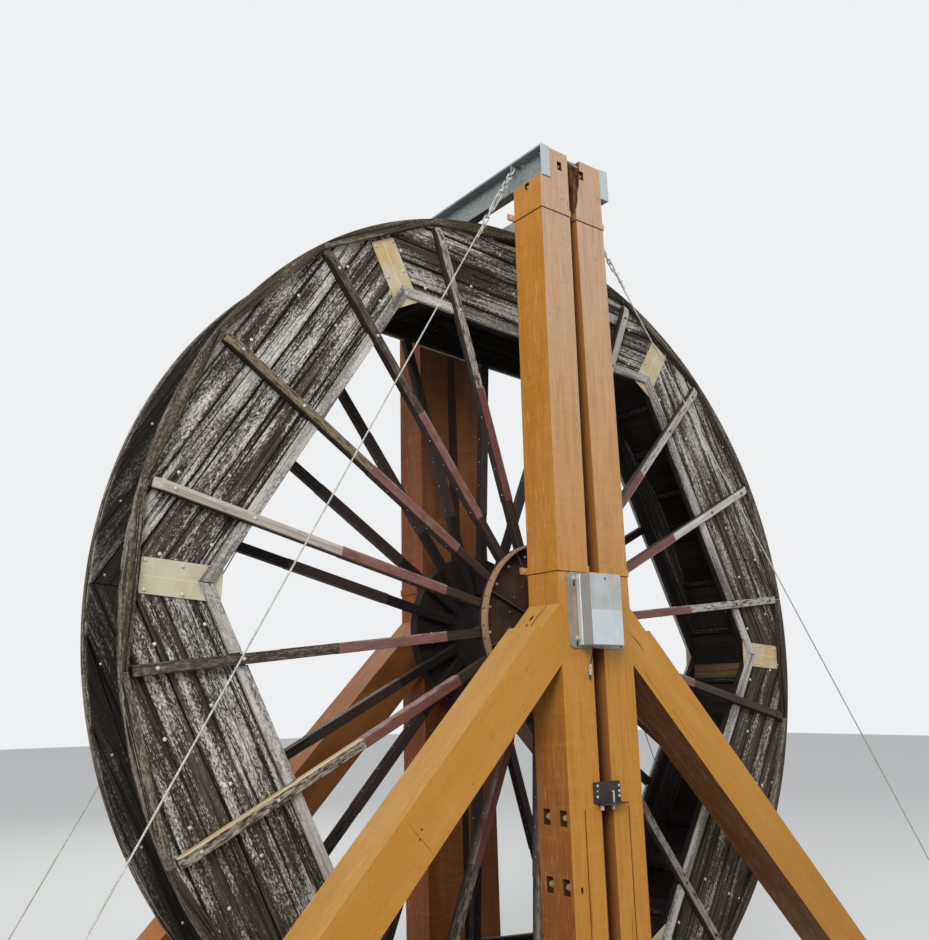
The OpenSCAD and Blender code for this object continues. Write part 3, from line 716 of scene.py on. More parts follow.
# Heads and nuts, as (radius, height)
DOME = ((0.012, 0.0), (0.012, 0.002), (0.0105, 0.005), (0.0075, 0.0075), (0.003, 0.009))
SMALL = ((0.0042, 0.0), (0.004, 0.0012), (0.003, 0.0024), (0.0012, 0.003))
SCREW = ((0.009, 0.0), (0.009, 0.002), (0.006, 0.0045), (0.002, 0.0055))
RING_TIP = ((0.008, 0.001), (0.008, -0.004), (0.005, -0.0055))
RIVET = ((0.007, -0.001), (0.007, 0.0016), (0.004, 0.0026))
BACK_BOLT = ((0.016, 0), (0.016, 0.002), (0.011, 0.0022), (0.011, 0.010), (0.007, 0.0125))
STRAP_BOLT = ((0.009, 0.0), (0.009, 0.004), (0.005, 0.006))
NUT = ((0.02, 0.0), (0.02, 0.003), (0.0125, 0.0032), (0.0125, 0.014), (0.0075, 0.0142), (0.0075, 0.022))
POCKET_NUT = ((0.021, -0.011), (0.021, 0.003), (0.014, 0.0032), (0.014, 0.012), (0.008, 0.0122),
              (0.008, 0.015))


# Wheel


# How much more or less old paint each segment has kept, from the upper right one on
SEGMENT_PAINT = (0.0, 0.0, 0.55, 0.0, 0.3, -0.9)
# How much more of it for each metre up the upper right segment, from this far above its middle
PAINT_UPWARD, PAINT_FROM = 0.75, 0.55
# Half of a joint between two planks, one of these at random
PLANK_GAPS = (0.001, 0.0015, 0.002, 0.003)


def ring_planks(side, word):
    """Six planks side by side in each segment of a side ring, with joints of uneven width."""
    planks, first, width, past_rim = 6, 0.127, 0.155, 3.1
    joint_range = range(planks - 1)
    b = Build()
    for seg in range(CORNERS):
        put = on_wheel(SEGMENT * (seg + 0.5), side)
        joints = [OPEN_A + first + width * k + rnd.uniform(-0.012, 0.012) for k in joint_range]
        joints = [OPEN_A] + joints + [past_rim]
        tilts = [0.0] + [math.radians(rnd.uniform(-0.12, 0.12)) for k in joint_range] + [0.0]
        gaps = [0.0] + [rnd.choice(PLANK_GAPS) for k in joint_range] + [0.0]
        rise = 0 if seg else PAINT_UPWARD
        for k in range(planks):
            lo, hi = tilts[k], tilts[k + 1]
            poly = wedge(fan(RING_R, math.radians(33), 44), math.pi / CORNERS, 0.003)
            poly = clip(poly, -math.cos(lo), -math.sin(lo), -(joints[k] + gaps[k]))
            poly = clip(poly, math.cos(hi), math.sin(hi), joints[k + 1] - gaps[k + 1])
            poly = tidy(poly, 0.004)
            if len(poly) < 3:
                continue
            paint = SEGMENT_PAINT[seg] + rnd.choice((-0.65, -0.3, 0.0, 0.3, 0.55))
            dirt, warmth = rnd.uniform(0.0, 0.15), rnd.uniform(0, 0.8)

            def tint(x, y, w):
                # Painted shade on the inner face, toward the inside of the wheel: less paint and much dirt
                # darken it
                if w < HALF_W - RING_T / 2:
                    return paint - 0.9, 0.75, 0.1
                return paint + rise * (y - PAINT_FROM), dirt, warmth + 0.4 * rise * max(0.0, -y)

            # The first plank counts its distance from the trim's edge, so the painted shadow of the trim
            # runs along it
            def place(x, y, w):
                return x - max(joints[k], OPEN_A + TRIM_W), joints[k + 1] - x, 0

            face = HALF_W - rnd.uniform(0.0, 0.0025)
            b.prism(poly, INNER_HALF, face, put, ALONG_Y, 0.0052, tint, place)
    b.make(word + "_ring_planks", "planks", "wheel", [word + "_ring"], "weathered_wood")


# Bolts of a ring, by radius, degrees on from the bucket's start, and how far each may stray
SOLE_BOLT, FRONT_BOLT = (2.51, 5.1, 0.008), (2.8, 7.5, 0.008)
RIM_BOLT, RIM_TIP = (2.925, 8.6, 0.02), (2.915, 9.4, 0.03)


def ring_bolts(side, word):
    """Bolts through the rings into the sole boards and the bucket fronts, two or three to a bucket."""
    seat = HALF_W - 0.0012
    b = Build()
    for i in range(BUCKETS):
        def spot(r, off, stray, h):
            return at(on_wheel(BUCKET_PITCH * i + off, side), r, rnd.uniform(-stray, stray), h)

        b.turned(DOME, spot(*SOLE_BOLT, seat), 10)
        b.turned(DOME, spot(*FRONT_BOLT, seat), 10)
        if i % 2:
            b.turned(DOME, spot(*RIM_BOLT, seat), 10)
        # Ends of the bolts on the ring's inner face, out beyond the bucket boards
        b.turned(RING_TIP, spot(*RIM_TIP, INNER_HALF), 8)
    b.make(word + "_ring_bolts", "bolt", "wheel", (), "galvanised_steel", True)


def rim_boards(side, word):
    """Strips from spoke to spoke, straight inside and round outside, worn along their edges."""
    half = math.pi / SPOKES
    chord = (WHEEL_R - STRIP_END) * math.cos(half)
    b = Build()
    for i in range(SPOKES):
        poly = clip(fan(WHEEL_R - 0.0008, math.radians(11), 16), -1, 0, -chord)
        poly = rough_edge(tidy(wedge(poly, half, 0.0015), 0.003), 0.085, 0.0035)
        paint, worn = rnd.uniform(-0.4, 0.4), rnd.uniform(0, 1.8)
        dirt, warmth = rnd.uniform(0, 0.2), rnd.uniform(0.2, 0.9)

        def tint(x, y, w):
            outer = math.hypot(x, y) > WHEEL_R - 0.004
            return paint + worn if outer else paint, dirt, warmth

        face = HALF_W + STRIP_T - rnd.uniform(0, 0.002)
        b.prism(poly, HALF_W, face, on_wheel(SPOKE_PITCH * i, side), ALONG_Y, 0.005, tint)
    b.make(word + "_rim_boards", "strips", "wheel", [word + "_rim_strips"], "brown_wood")


def trim_boards(side, word):
    """Boards round the opening, each between two spokes or a spoke and a corner."""
    corner, spoke = math.radians(SEGMENT / 2), math.radians(SPOKE_PITCH)
    joint, gap = 0.0015, SPOKE_W / 2 + TRIM_GAP
    cuts = (-corner, -spoke, 0.0, spoke, corner)
    b = Build()
    for seg in range(CORNERS):
        put = on_wheel(SEGMENT * (seg + 0.5), side)
        for a0, a1 in zip(cuts, cuts[1:]):
            poly = moved(box(TRIM_W, 4.0), OPEN_A + TRIM_W / 2, 0)
            poly = clip(poly, math.sin(a0), -math.cos(a0), -(joint if a0 == -corner else gap))
            poly = clip(poly, -math.sin(a1), math.cos(a1), -(joint if a1 == corner else gap))
            poly = rough_edge(tidy(poly), 0.12, 0.0015)
            look = (rnd.uniform(0, 0.6), rnd.uniform(0, 0.2), 0)
            b.prism(poly, HALF_W, HALF_W + TRIM_T, put, ALONG_Y, 0.004, look)
    b.make(word + "_trim_boards", "trim", "wheel", [word + "_trim"], "pale_painted_wood")


# How yellow each corner plate's paint is, from the one on the right on
PLATE_YELLOW = (0.6, 0.5, 0.65, 0.2, 0.4, 0.45)
# Bolts of a corner plate, as radius and place across it
PLATE_BOLTS = ((2.65, 0.08), (2.66, -0.075), (2.865, 0.078), (2.87, -0.082))


def corner_plates(side, word):
    """Cream plates over the segments' joints, creased along the middle in paler paint as painted highlight,
    each with four bolts.
    """
    length, face = PLATE_OUT - PLATE_IN, HALF_W + PLATE_T
    middle = PLATE_IN + length / 2
    plate = moved(rounded(length, PLATE_W, 0.012, 3), middle, 0)
    fold = moved(box(length - 0.12, 0.005), middle + 0.04, 0.004)
    b, crease, bolts = Build(), Build(), Build()
    for i in range(CORNERS):
        put = on_wheel(SEGMENT * i, side)
        b.prism(plate, HALF_W, face, put, ALONG_X, 0.0012, (PLATE_YELLOW[i], 0, 0))
        crease.prism(fold, face - 0.001, face + 0.0009, put, ALONG_X, 0.0008)
        for x, y in PLATE_BOLTS:
            bolts.turned(DOME, at(put, x + rnd.uniform(-0.01, 0.01), y, face), 10)
    b.make(word + "_plates", "cream", "wheel", [word + "_corner_plates"], "cream_painted_steel")
    crease.make(word + "_plate_creases", "cream_edge", "wheel", (), "cream_painted_steel")
    bolts.make(word + "_plate_bolts", "bolt", "wheel", (), "galvanised_steel", True)


# Colour of each spoke's outer part and the share of its paint that is left, from 6.5 degrees on
SPOKE_LOOKS = (
    ("c4c1bb", 0.54), ("d9d6d1", 0.68), ("c9c5bf", 0.57), ("c6c2bc", 0.62), ("9a948a", 0.50),
    ("b9b3aa", 0.53), ("756b60", 0.475), ("94856f", 0.52), ("c6bcb3", 0.63), ("857b70", 0.455),
    ("aea497", 0.5), ("998f84", 0.50), ("8a8277", 0.50), ("a69f95", 0.55), ("a19b91", 0.50),
    ("aaa59c", 0.55), ("9b958c", 0.50), ("4a433c", 0.42))
# Spokes that have lost the paint of their upper flank, and those that kept it there, in its colour
BARE_ABOVE = (1, 2, 3, 4)
CREAM_ABOVE = {10: "efdcbc", 8: "d8cfc6"}
# The dark wood colour is painted shade, on the faces toward the wheel's inside
CREAM_FOOT, SHADED_WOOD = "c9aa7c", "1b1512"
SLEEVE_IN, SLEEVE_OUT, SLEEVE_T = 0.87, 1.70, 0.0018
SLEEVE_BOLTS, SPOKE_BOLTS = (0.96, 1.15, 1.34, 1.53), (2.31, 2.81)


def spokes(side, word):
    """Bars bevelled at the rim, each with a red sleeve round its middle and its bolts."""
    edge, middle = SPOKE_W / 2, SPOKE_T / 2
    outline = [(SPOKE_IN, 0), (SPOKE_OUT, 0), (SPOKE_OUT, SPOKE_TIP), (SPOKE_OUT - SPOKE_BEVEL, SPOKE_T),
               (SPOKE_IN, SPOKE_T)]
    b, sleeves, screws, pins = Build(), Build(), Build(), Build()
    for i in range(SPOKES):
        put = on_wheel(SPOKE_PITCH * (i + 0.5), side)
        turn = math.radians(TURN + SPOKE_PITCH * (i + 0.5))
        # Which flank is dark: the lower one, with painted shade, but the upper, bare one on the spokes bare
        # above
        under = (-1 if math.cos(turn) > 0 else 1) * (-1 if i in BARE_ABOVE else 1)
        look, kept = SPOKE_LOOKS[i]
        creamy = i in CREAM_ABOVE
        upper, foot = CREAM_ABOVE.get(i, look), CREAM_FOOT if creamy else SHADED_WOOD

        def lit(y):
            return under * y < 0.001 - edge

        # The back side's spokes take painted shade on both flanks
        def below(y):
            return under * y if side < 0 else 0.02

        # Painted shade: the face toward the wheel's inside and the inner half of each flank take the dark
        # wood colour
        def tint(x, h, y):
            if lit(y):
                return lin(foot if h < middle else upper)[:3]
            return lin(SHADED_WOOD if h < middle else look)[:3]

        def place(x, h, y):
            return x, 0.8 if creamy and lit(y) else kept, below(y)

        def upright(x, h, y):
            return put(x, y, HALF_W + h)

        b.prism(outline, -edge, edge, upright, ALONG_X, 0.0045, tint, place)
        # Sleeves sit a little further out on the spokes that point up
        out = 0.045 * math.sin(turn) + rnd.uniform(-0.015, 0.015)
        r0, r1 = SLEEVE_IN + out, SLEEVE_OUT + out
        chalk = rnd.uniform(0, 0.5)

        def coat(x, y, w):
            deep = w < HALF_W + middle and not (creamy and lit(y))
            return chalk, 0.85 if deep else 0.0, below(y)

        sleeve = moved(box(r1 - r0, SPOKE_W + 2 * SLEEVE_T), (r0 + r1) / 2, 0)
        sleeves.prism(sleeve, HALF_W - SLEEVE_T, SPOKE_FACE + SLEEVE_T, put, ALONG_X, 0.003, coat)
        for x in SLEEVE_BOLTS:
            for s in (-1, 1):
                def flank(a, c, h):
                    return put(x + a, s * (edge + SLEEVE_T + h), HALF_W + 0.03 + c)
                screws.turned(SMALL, flank, 8)
        # Spokes on the right, as built, have dark bolts
        for x in SPOKE_BOLTS:
            (pins if math.cos(turn) > 0.2 else screws).turned(DOME, at(put, x, 0.0, SPOKE_FACE), 10)
    b.make(word + "_spoke_bars", "spoke", "wheel", [word + "_spokes"], "pale_painted_wood")
    sleeves.make(word + "_spoke_sleeves", "sleeve", "wheel", (), "pale_painted_wood")
    screws.make(word + "_spoke_bolts", "bolt", "wheel", (), "galvanised_steel", True)
    pins.make(word + "_spoke_pins", "black", "wheel", (), "black_steel", True)


def sole_planks():
    """Three boards across the wheel between one riser and the next, one of them lighter."""
    w = SOLE_R * math.tan(math.pi / BUCKETS) - BOARD_T / 2 - 0.0005
    b, light = Build(), Build()
    for i in range(BUCKETS):
        put = on_wheel(BUCKET_PITCH * i, 1)
        marks = [-w, w * rnd.uniform(-0.4, -0.28), w * rnd.uniform(0.26, 0.4), w]
        for k in range(3):
            lift = rnd.uniform(0.0, 0.004)
            poly = box(SOLE_T - lift, marks[k + 1] - marks[k] - 0.0016)
            poly = moved(poly, SOLE_R + (SOLE_T + lift) / 2, (marks[k] + marks[k + 1]) / 2)
            look = (rnd.uniform(-0.5, 0.3), rnd.uniform(0, 0.35), rnd.uniform(0, 0.8))
            piece = light if i == k == 0 else b
            piece.prism(poly, -INNER_HALF, INNER_HALF, put, ALONG_H, 0.003, look)
    b.make("sole_planks", "drum", "wheel", ["sole_boards"], "weathered_wood")
    light.make("sole_plank_light", "tan_board", "wheel", (), "brown_wood")


BOARD_HALF = BOARD_T / 2
MITRE = BOARD_HALF * math.tan(LEAN / 2)


def riser_planks():
    """Boards that stand on the sole, their tails proud inside as ledges with pale edges."""
    tail = SOLE_R / math.cos(math.pi / BUCKETS) - 0.025
    poly = [(tail, -BOARD_HALF), (BEND_R + MITRE, -BOARD_HALF), (BEND_R - MITRE, BOARD_HALF),
            (tail, BOARD_HALF)]

    def tint(x, y, w):
        return (1.9, 0, 0) if x < SOLE_R else (0, 0.3, 0)

    b = Build()
    for i in range(BUCKETS):
        b.prism(poly, -INNER_HALF, INNER_HALF, on_wheel(BUCKET_PITCH * (i + 0.5), 1), ALONG_H, 0.003, tint)
    b.make("riser_planks", "drum", "wheel", ["bucket_risers"], "weathered_wood")


def bucket_planks():
    """The leaning fronts of the buckets, each of two boards."""
    reach, joint = (LIP_R - BEND_R) / math.cos(LEAN), 0.002
    d = Vector((math.cos(LEAN), math.sin(LEAN)))
    low, high = Vector((BEND_R + MITRE, -BOARD_HALF)), Vector((BEND_R - MITRE, BOARD_HALF))
    b = Build()
    for i in range(BUCKETS):
        put = on_wheel(BUCKET_PITCH * (i + 0.5), 1)
        near = reach * rnd.uniform(0.45, 0.6)
        below, above = near - MITRE, near + MITRE
        for poly in ([low, low + d * below, high + d * above, high],
                     [low + d * (below + joint), low + d * (reach - 2 * MITRE), high + d * reach,
                      high + d * (above + joint)]):
            end = INNER_HALF - rnd.uniform(0, 0.003)
            look = (rnd.uniform(-0.3, 0.6), rnd.uniform(0, 0.3), rnd.uniform(0, 0.6))
            b.prism([tuple(p) for p in poly], -end, end, put, ALONG_H, 0.003, look)
    b.make("bucket_planks", "drum", "wheel", ["bucket_fronts"], "weathered_wood")


def hub_details(side, word):
    """Bolts through the pan into the spokes, rivets round its rim, screws, and pale strips on its ribs'
    edges as painted highlight.
    """
    pan, rib = SPOKE_FACE + HUB_PLATE, SPOKE_FACE + HUB_DEPTH * 0.55
    bolts, rivets, edges = Build(), Build(), Build()
    for i in range(SPOKES):
        put = on_wheel(SPOKE_PITCH * (i + 0.5), side)
        bolts.turned(DOME, at(put, 0.497, 0.006, pan), 10)
        edges.turned(SCREW, at(put, 0.315, -0.01, pan), 8)
        for off in (4.0, 15.5):
            ca, sa = math.cos(math.radians(off)), math.sin(math.radians(off))

            def rim(p, q, h):
                x, y = (HUB_R + h) * ca, (HUB_R + h) * sa
                return put(x - p * sa, y + p * ca, rib + q)

            rivets.turned(RIVET, rim, 8)
    for i in range(HUB_RIBS):
        edges.prism(moved(box(0.43, 0.0075), 0.34, 0), rib - 0.001, rib + 0.0012,
                    on_wheel(360 / HUB_RIBS * i, side), ALONG_X, 0.001)
    bolts.make(word + "_hub_bolts", "bolt", "wheel", (), "galvanised_steel", True)
    rivets.make(word + "_hub_rivets", "dark", "wheel", (), "rusty_iron", True)
    edges.make(word + "_hub_rib_edges", "axle", "wheel", (), "rusty_iron")


# Frame


def dress_nodes():
    """Nodes that keep their CAD shape get a material and softened edges, by width in metres."""
    looks = {
        "front_post_left": ("post", 0.006), "front_post_right": ("post", 0.006),
        "back_post_left": ("back_post", 0.006), "back_post_right": ("back_post", 0.006),
        "front_brace_left": ("brace_l", 0.006), "front_brace_right": ("brace_r", 0.006),
        "back_brace_left": ("back_brace_l", 0.006), "back_brace_right": ("back_brace_r", 0.006),
        "front_packer": ("back_brace_l", 0.003), "back_packer": ("back_post", 0.003),
        "front_straps": ("post", 0.0012), "back_straps": ("back_post", 0.0012),
        "top_channel_left": ("channel", 0.002), "top_channel_right": ("channel", 0.002),
        "stay_cleats": ("zinc", 0.001), "stay_feet": ("zinc", 0.0015),
        "front_bearing": ("iron", 0.003), "back_bearing": ("iron", 0.003),
        "front_hub": ("hub", 0.002), "back_hub": ("back_hub", 0.002), "axle": ("axle", 0.002),
        "box_back_plate": ("box_back", 0.0015), "latch_plate": ("black", 0.0015)}
    for node, (key, width) in looks.items():
        NODES[node].data.materials.clear()
        NODES[node].data.materials.append(M[key])
        soften(NODES[node], width)


def sheet(name, mat, poly, low, high, put, chamfer, nodes=(), slot="grey_painted_steel"):
    """One flat piece of the control box, from height low to high over its place."""
    b = Build()
    b.prism(poly, low, high, put, ALONG_Y, chamfer)
    b.make("control_box_" + name, mat, "frame", nodes, slot)


def control_box():
    """Pale case on the back plate, a deep lid over it and a bare pale panel on the lid."""
    put = facing_y(BOX_X, -POST_FRONT, BOX_Z)
    case, lid = BACK_T + 0.036, BACK_T + BOX_D
    seam, panel_h = case + 0.0025, 0.222
    sheet("case", "box_case", rounded(BOX_W, BOX_H, 0.006), BACK_T, case, put, 0.004, ["control_box"])
    sheet("seal", "dark", rounded(BOX_W - 0.012, BOX_H - 0.012, 0.004), case - 0.002, seam + 0.002, put,
          0.0005)
    sheet("skirt", "box_skirt", rounded(BOX_W - 0.002, BOX_H - 0.002, 0.004), seam, lid - 0.002, put, 0.001)
    sheet("lid", "box", rounded(BOX_W, BOX_H, 0.006), lid - 0.004, lid - 0.0005, put, 0.0015)
    sheet("panel", "box_panel", rounded(BOX_W - 0.004, panel_h, 0.004), lid - 0.001, lid + 0.0002,
          at(put, 0, (panel_h - BOX_H) / 2 + 0.002), 0.0005)
    b = Build()
    b.turned(((0.008, 0), (0.008, 0.0006), (0.005, 0.0008)), at(put, -0.004, 0.196, lid - 0.0008), 16)
    b.turned(((0.003, 0), (0.003, 0.0006), (0.002, 0.0008)), at(put, 0.045, 0.15, lid - 0.0008), 8)
    b.make("control_box_holes", "dark", "frame", (), "grey_painted_steel", True)
    # A tan strip on the back plate, left of the case
    sheet("stain", "tan", moved(rounded(0.016, 0.37, 0.006), -0.164, 0.0), BACK_T - 0.001, BACK_T + 0.0006,
          put, 0.0004, slot=None)
    # Bolts in the back plate's corners, each in front of a short slot
    b, slots = Build(), Build()
    for x, z in ((-0.208, 0.205), (-0.203, -0.183), (0.206, 0.205), (0.206, -0.183)):
        corner = at(facing_y(0, -POST_FRONT, BOX_Z), x, z, BACK_T)
        b.turned(BACK_BOLT, corner, 12)
        slots.prism(rounded(0.014, 0.05, 0.006), -0.001, 0.0006, at(corner, 0.002, -0.03), ALONG_Y, 0.0003)
    b.make("control_box_bolts", "bolt", "frame", (), "galvanised_steel", True)
    slots.make("control_box_slots", "dark", "frame", (), "grey_painted_steel")


def latch():
    """Bolts, a staple that stands on the shelf, and two short feet under it."""
    put = facing_y(0, -POST_FRONT - 0.01, LATCH_Z)
    b = Build()
    for x, z in ((-0.089, 0.042), (-0.093, -0.024), (0.108, 0.035), (0.108, 0.001), (0.108, -0.029)):
        b.turned(SCREW, at(put, x, z), 10)
    b.turned(((0.006, 0), (0.006, 0.001), (0.004, 0.002)), at(put, -0.092, 0.01), 8)
    b.make("latch_bolts", "bolt", "frame", (), "galvanised_steel", True)
    b = Build()
    staple = ((0.035, -0.062, 0.018), (0.033, -0.03, 0.02), (0.039, -0.008, 0.016), (0.045, 0.004, 0.008),
              (0.044, 0.002, -0.002))
    b.tube([put(*p) for p in staple], 0.0055, 8)
    for x in (-0.07, 0.03):
        b.prism(moved(rounded(0.016, 0.034, 0.004), x, -0.088), 0.006, 0.022, put, ALONG_Y, 0.001)
    b.make("latch_staple", "bolt", "frame", (), "galvanised_steel", True)
    b = Build()
    b.prism(moved(box(0.226, 0.0022), 0.025, -0.0662), 0.0495, 0.0512, put, ALONG_X, 0.0004)
    b.make("latch_shelf_edge", "axle", "frame", (), "black_steel")


def stay_frame(side, hand):
    """The eye, the foot, the direction down the stay and two directions square to it."""
    top = Vector((hand * (CHANNEL_FRONT[hand] + 0.06), side * (POST_REAR - 0.031), POST_H - 0.055))
    foot = Vector((hand * STAY_FOOT_X[side], side * STAY_FOOT_Y, STAY_FOOT_Z))
    d = (foot - top).normalized()
    e = d.cross(Vector(ALONG_Y)).normalized()
    return top, foot, d, e, d.cross(e).normalized()


def loop(centre, along, across, half_l, half_w, n=8):
    """A closed link: two straight sides and two half rounds."""
    s = half_l - half_w
    pts = []
    for k in range(2 * n + 2):
        end = 1 if k <= n else -1
        t = math.pi * ((k if k <= n else k - 1) / n - 0.5)
        pts.append(centre + along * (end * s + half_w * math.cos(t)) + across * half_w * math.sin(t))
    return pts


def chain(side, hand, word):
    """A bow shackle in the cleat's eye, three links turned about in turn, and the fork below."""
    top, _, d, e, g = stay_frame(side, hand)
    fork = TURNBUCKLE_AT + TURNBUCKLE_L + 0.052
    b = Build()
    b.tube(loop(top + d * 0.024, d, g, 0.036, 0.02), 0.0065, 8, True)
    for k in range(3):
        b.tube(loop(top + d * (0.082 + 0.052 * k), d, (e, g)[k % 2], 0.036, 0.0165), 0.0062, 8, True)
    b.tube(loop(top + d * fork, d, g, 0.02, 0.014), 0.006, 8, True)
    b.make(word + "_chain", "bolt", "frame", (), "galvanised_steel", True)


def rope(side, hand, word):
    """Laid wire rope with a loop, a tail and two clips at each end."""
    top, foot, d, e, g = stay_frame(side, hand)
    a0, a1 = TURNBUCKLE_AT + TURNBUCKLE_L + 0.114, (foot - top).length - 0.1
    n = int((a1 - a0) / 0.0165)
    b = Build()
    b.tube([top + d * (a0 + (a1 - a0) * i / n) for i in range(n + 1)], 0.0054, 12, False, 6, 0.12)
    for c, s in ((top + d * (a0 - 0.014), -1), (foot - d * 0.062, 1)):
        b.tube(loop(c, d, e, 0.042, 0.017), 0.0055, 8, True)
        b.tube([c - d * s * 0.036 + e * 0.004, c - d * s * 0.07 + e * 0.012,
                c - d * s * 0.2 + e * 0.0125], 0.0055, 8)
    b.make(word + "_rope", "rope", "frame", [word.replace("_", "_stay_")], "galvanised_steel", True)
    b = Build()
    for base, s in ((top + d * a0, 1), (foot - d * 0.1, -1)):
        for k in range(2):
            c = base + d * s * (0.05 + 0.07 * k) + e * 0.006
            b.tube([c + e * p + g * q for p, q in ((0.012, 0.011), (-0.011, 0.011), (-0.015, 0),
                                                   (-0.011, -0.011), (0.012, -0.011))], 0.003, 6)
            for q in (-1, 1):
                def put(x, y, h):
                    return c + e * (0.014 + h) + g * (0.011 * q + x) + d * y
                b.turned(((0.005, -0.004), (0.005, 0.003)), put, 6)
    b.tube(loop(foot - d * 0.012, d, g, 0.028, 0.016), 0.0055, 8, True)
    b.make(word + "_clips", "bolt", "frame", (), "galvanised_steel", True)


def turnbuckles():
    """Open bodies: two bars with a nut at each end, and a screw with an eye in each nut."""
    nut_h, screw_r, far = 0.03, 0.007, TURNBUCKLE_L
    b = Build()
    for side, hand in [(side, hand) for side, _ in SIDES for hand, _ in HANDS]:
        top, _, d, e, g = stay_frame(side, hand)
        o = top + d * TURNBUCKLE_AT

        def put(x, y, h):
            return o + e * x + g * y + d * h

        for s in (-1, 1):
            w = s * TURNBUCKLE_W / 2
            b.tube([put(w * 0.6, 0, 0.008), put(w, 0, 0.03), put(w, 0, far - 0.03),
                    put(w * 0.6, 0, far - 0.008)], 0.006, 8)
        for h in (0.0, far - nut_h):
            nut = ((0.013, h), (0.0155, h + 0.004), (0.0155, h + nut_h - 0.004), (0.013, h + nut_h))
            b.turned(nut, put, 12)
        b.turned(((screw_r, -0.035), (screw_r, 0.095)), put, 10)
        b.turned(((screw_r, far - 0.085), (screw_r, far + 0.045)), put, 10)
    b.make("turnbuckle_bodies", "bolt", "frame", ["turnbuckles"], "galvanised_steel", True)


def lean_at(z):
    """How far a post has leaned in at that height above its shoulder."""
    return POST_LEAN * (z - SHOULDER) / (POST_H - SHOULDER)


def frame_bolts():
    """Nuts in the posts' recesses and pockets and on the straps, channels, bearings and feet."""
    depth = POST_FRONT - POST_REAR
    b, brown = Build(), Build()
    for side, _ in SIDES:
        for hand, _ in HANDS:
            for z in (1.9755, 1.5755):
                for share in (0.285, 0.8):
                    y = side * (POST_REAR + depth * share)
                    brown.turned(POCKET_NUT, facing_x(hand * (POST_SIDE - 0.019), y, z, hand), 6)
            x = hand * (POST_GAP - POST_LEAN + 0.084)
            brown.turned(NUT, facing_y(x, side * (POST_FRONT - 0.03), 6.48, side), 6)
            for y in (0.607, 0.80):
                b.turned(NUT, facing_x(hand * (CHANNEL_FRONT[hand] + CHANNEL_WEB), side * y, 6.57, hand), 6)
            for z in (6.1225, 3.5325):
                x = hand * (POST_SIDE - lean_at(z) + 0.036)
                b.turned(STRAP_BOLT, facing_y(x, side * (POST_REAR + 0.0065), z, side), 8)
            foot_x = hand * STAY_FOOT_X[side]
            for dx in (-0.07, 0.07):
                for dy in (-0.07, 0.07):
                    b.turned(NUT, facing_up(foot_x + dx, side * STAY_FOOT_Y + dy, 0.016), 6)
            for z in (-0.115, 0.115):
                b.turned(NUT, facing_y(hand * 0.16, side * (POST_REAR - 0.02), AXLE_H + z, -side), 6)
        b.turned(NUT, facing_x(-(POST_SIDE - 0.024 - 0.029), side * 0.722, 6.318, -1), 6)
    # Pale rod that lies across the gap in front, in the broken corner
    b.tube([(-0.03, -0.848, 6.568), (0.04, -0.846, 6.556), (0.096, -0.843, 6.548)], 0.0065, 8)
    b.make("frame_bolts", "bolt", "frame", (), "galvanised_steel", True)
    brown.make("frame_nuts", "tan", "frame", (), "tan_painted_steel", True)


def strap_shadows():
    """Painted shadow: a thin dark brown band under each strap, round its timber."""
    w, d, t = POST_SIDE - POST_GAP, POST_FRONT - POST_REAR, 0.004
    b = Build()
    for side, hand, z in [(side, hand, z) for side, _ in SIDES for hand, _ in HANDS for z in STRAP_Z]:
        x = hand * ((POST_GAP + POST_SIDE) / 2 - lean_at(z))
        y = side * (POST_REAR + POST_FRONT) / 2
        for cx, cy, sx, sy in ((x, y - d / 2 - t / 2, w + 2 * t, t), (x, y + d / 2 + t / 2, w + 2 * t, t),
                               (x - w / 2 - t / 2, y, t, d), (x + w / 2 + t / 2, y, t, d)):
            b.prism(moved(box(sx, sy), cx, cy), z - t, z - 0.0005, facing_up(0, 0, 0), ALONG_X, 0.0003)
    b.make("strap_shadows", "brown", "frame")


def mark(b, put, poly):
    """A sliver with that outline, all but flush with a face."""
    b.prism(poly, -0.001, 0.0006, put, ALONG_X, 0.0002)


def crack(b, put, length, width, kinks=5, bent=0.8):
    """A thin dark sliver along x, pointed at both ends."""
    upper, lower = [], []
    for k in range(kinks + 1):
        t = k / kinks
        bend = width * bent * math.sin(5 * t + length * 20)
        half = width / 2 * math.sin(math.pi * min(max(t, 0.04), 0.96)) * rnd.uniform(0.7, 1.0)
        upper.append((length * t, bend + half))
        lower.append((length * t, bend - half))
    mark(b, put, lower + upper[::-1])


def knot(b, put, w, h, n=12):
    """A flat dark spot with an uneven outline."""
    poly = []
    for k in range(n):
        a = 2 * math.pi * k / n
        x = w / 2 * math.cos(a) * rnd.uniform(0.75, 1)
        poly.append((x, h / 2 * math.sin(a) * rnd.uniform(0.75, 1)))
    mark(b, put, poly)


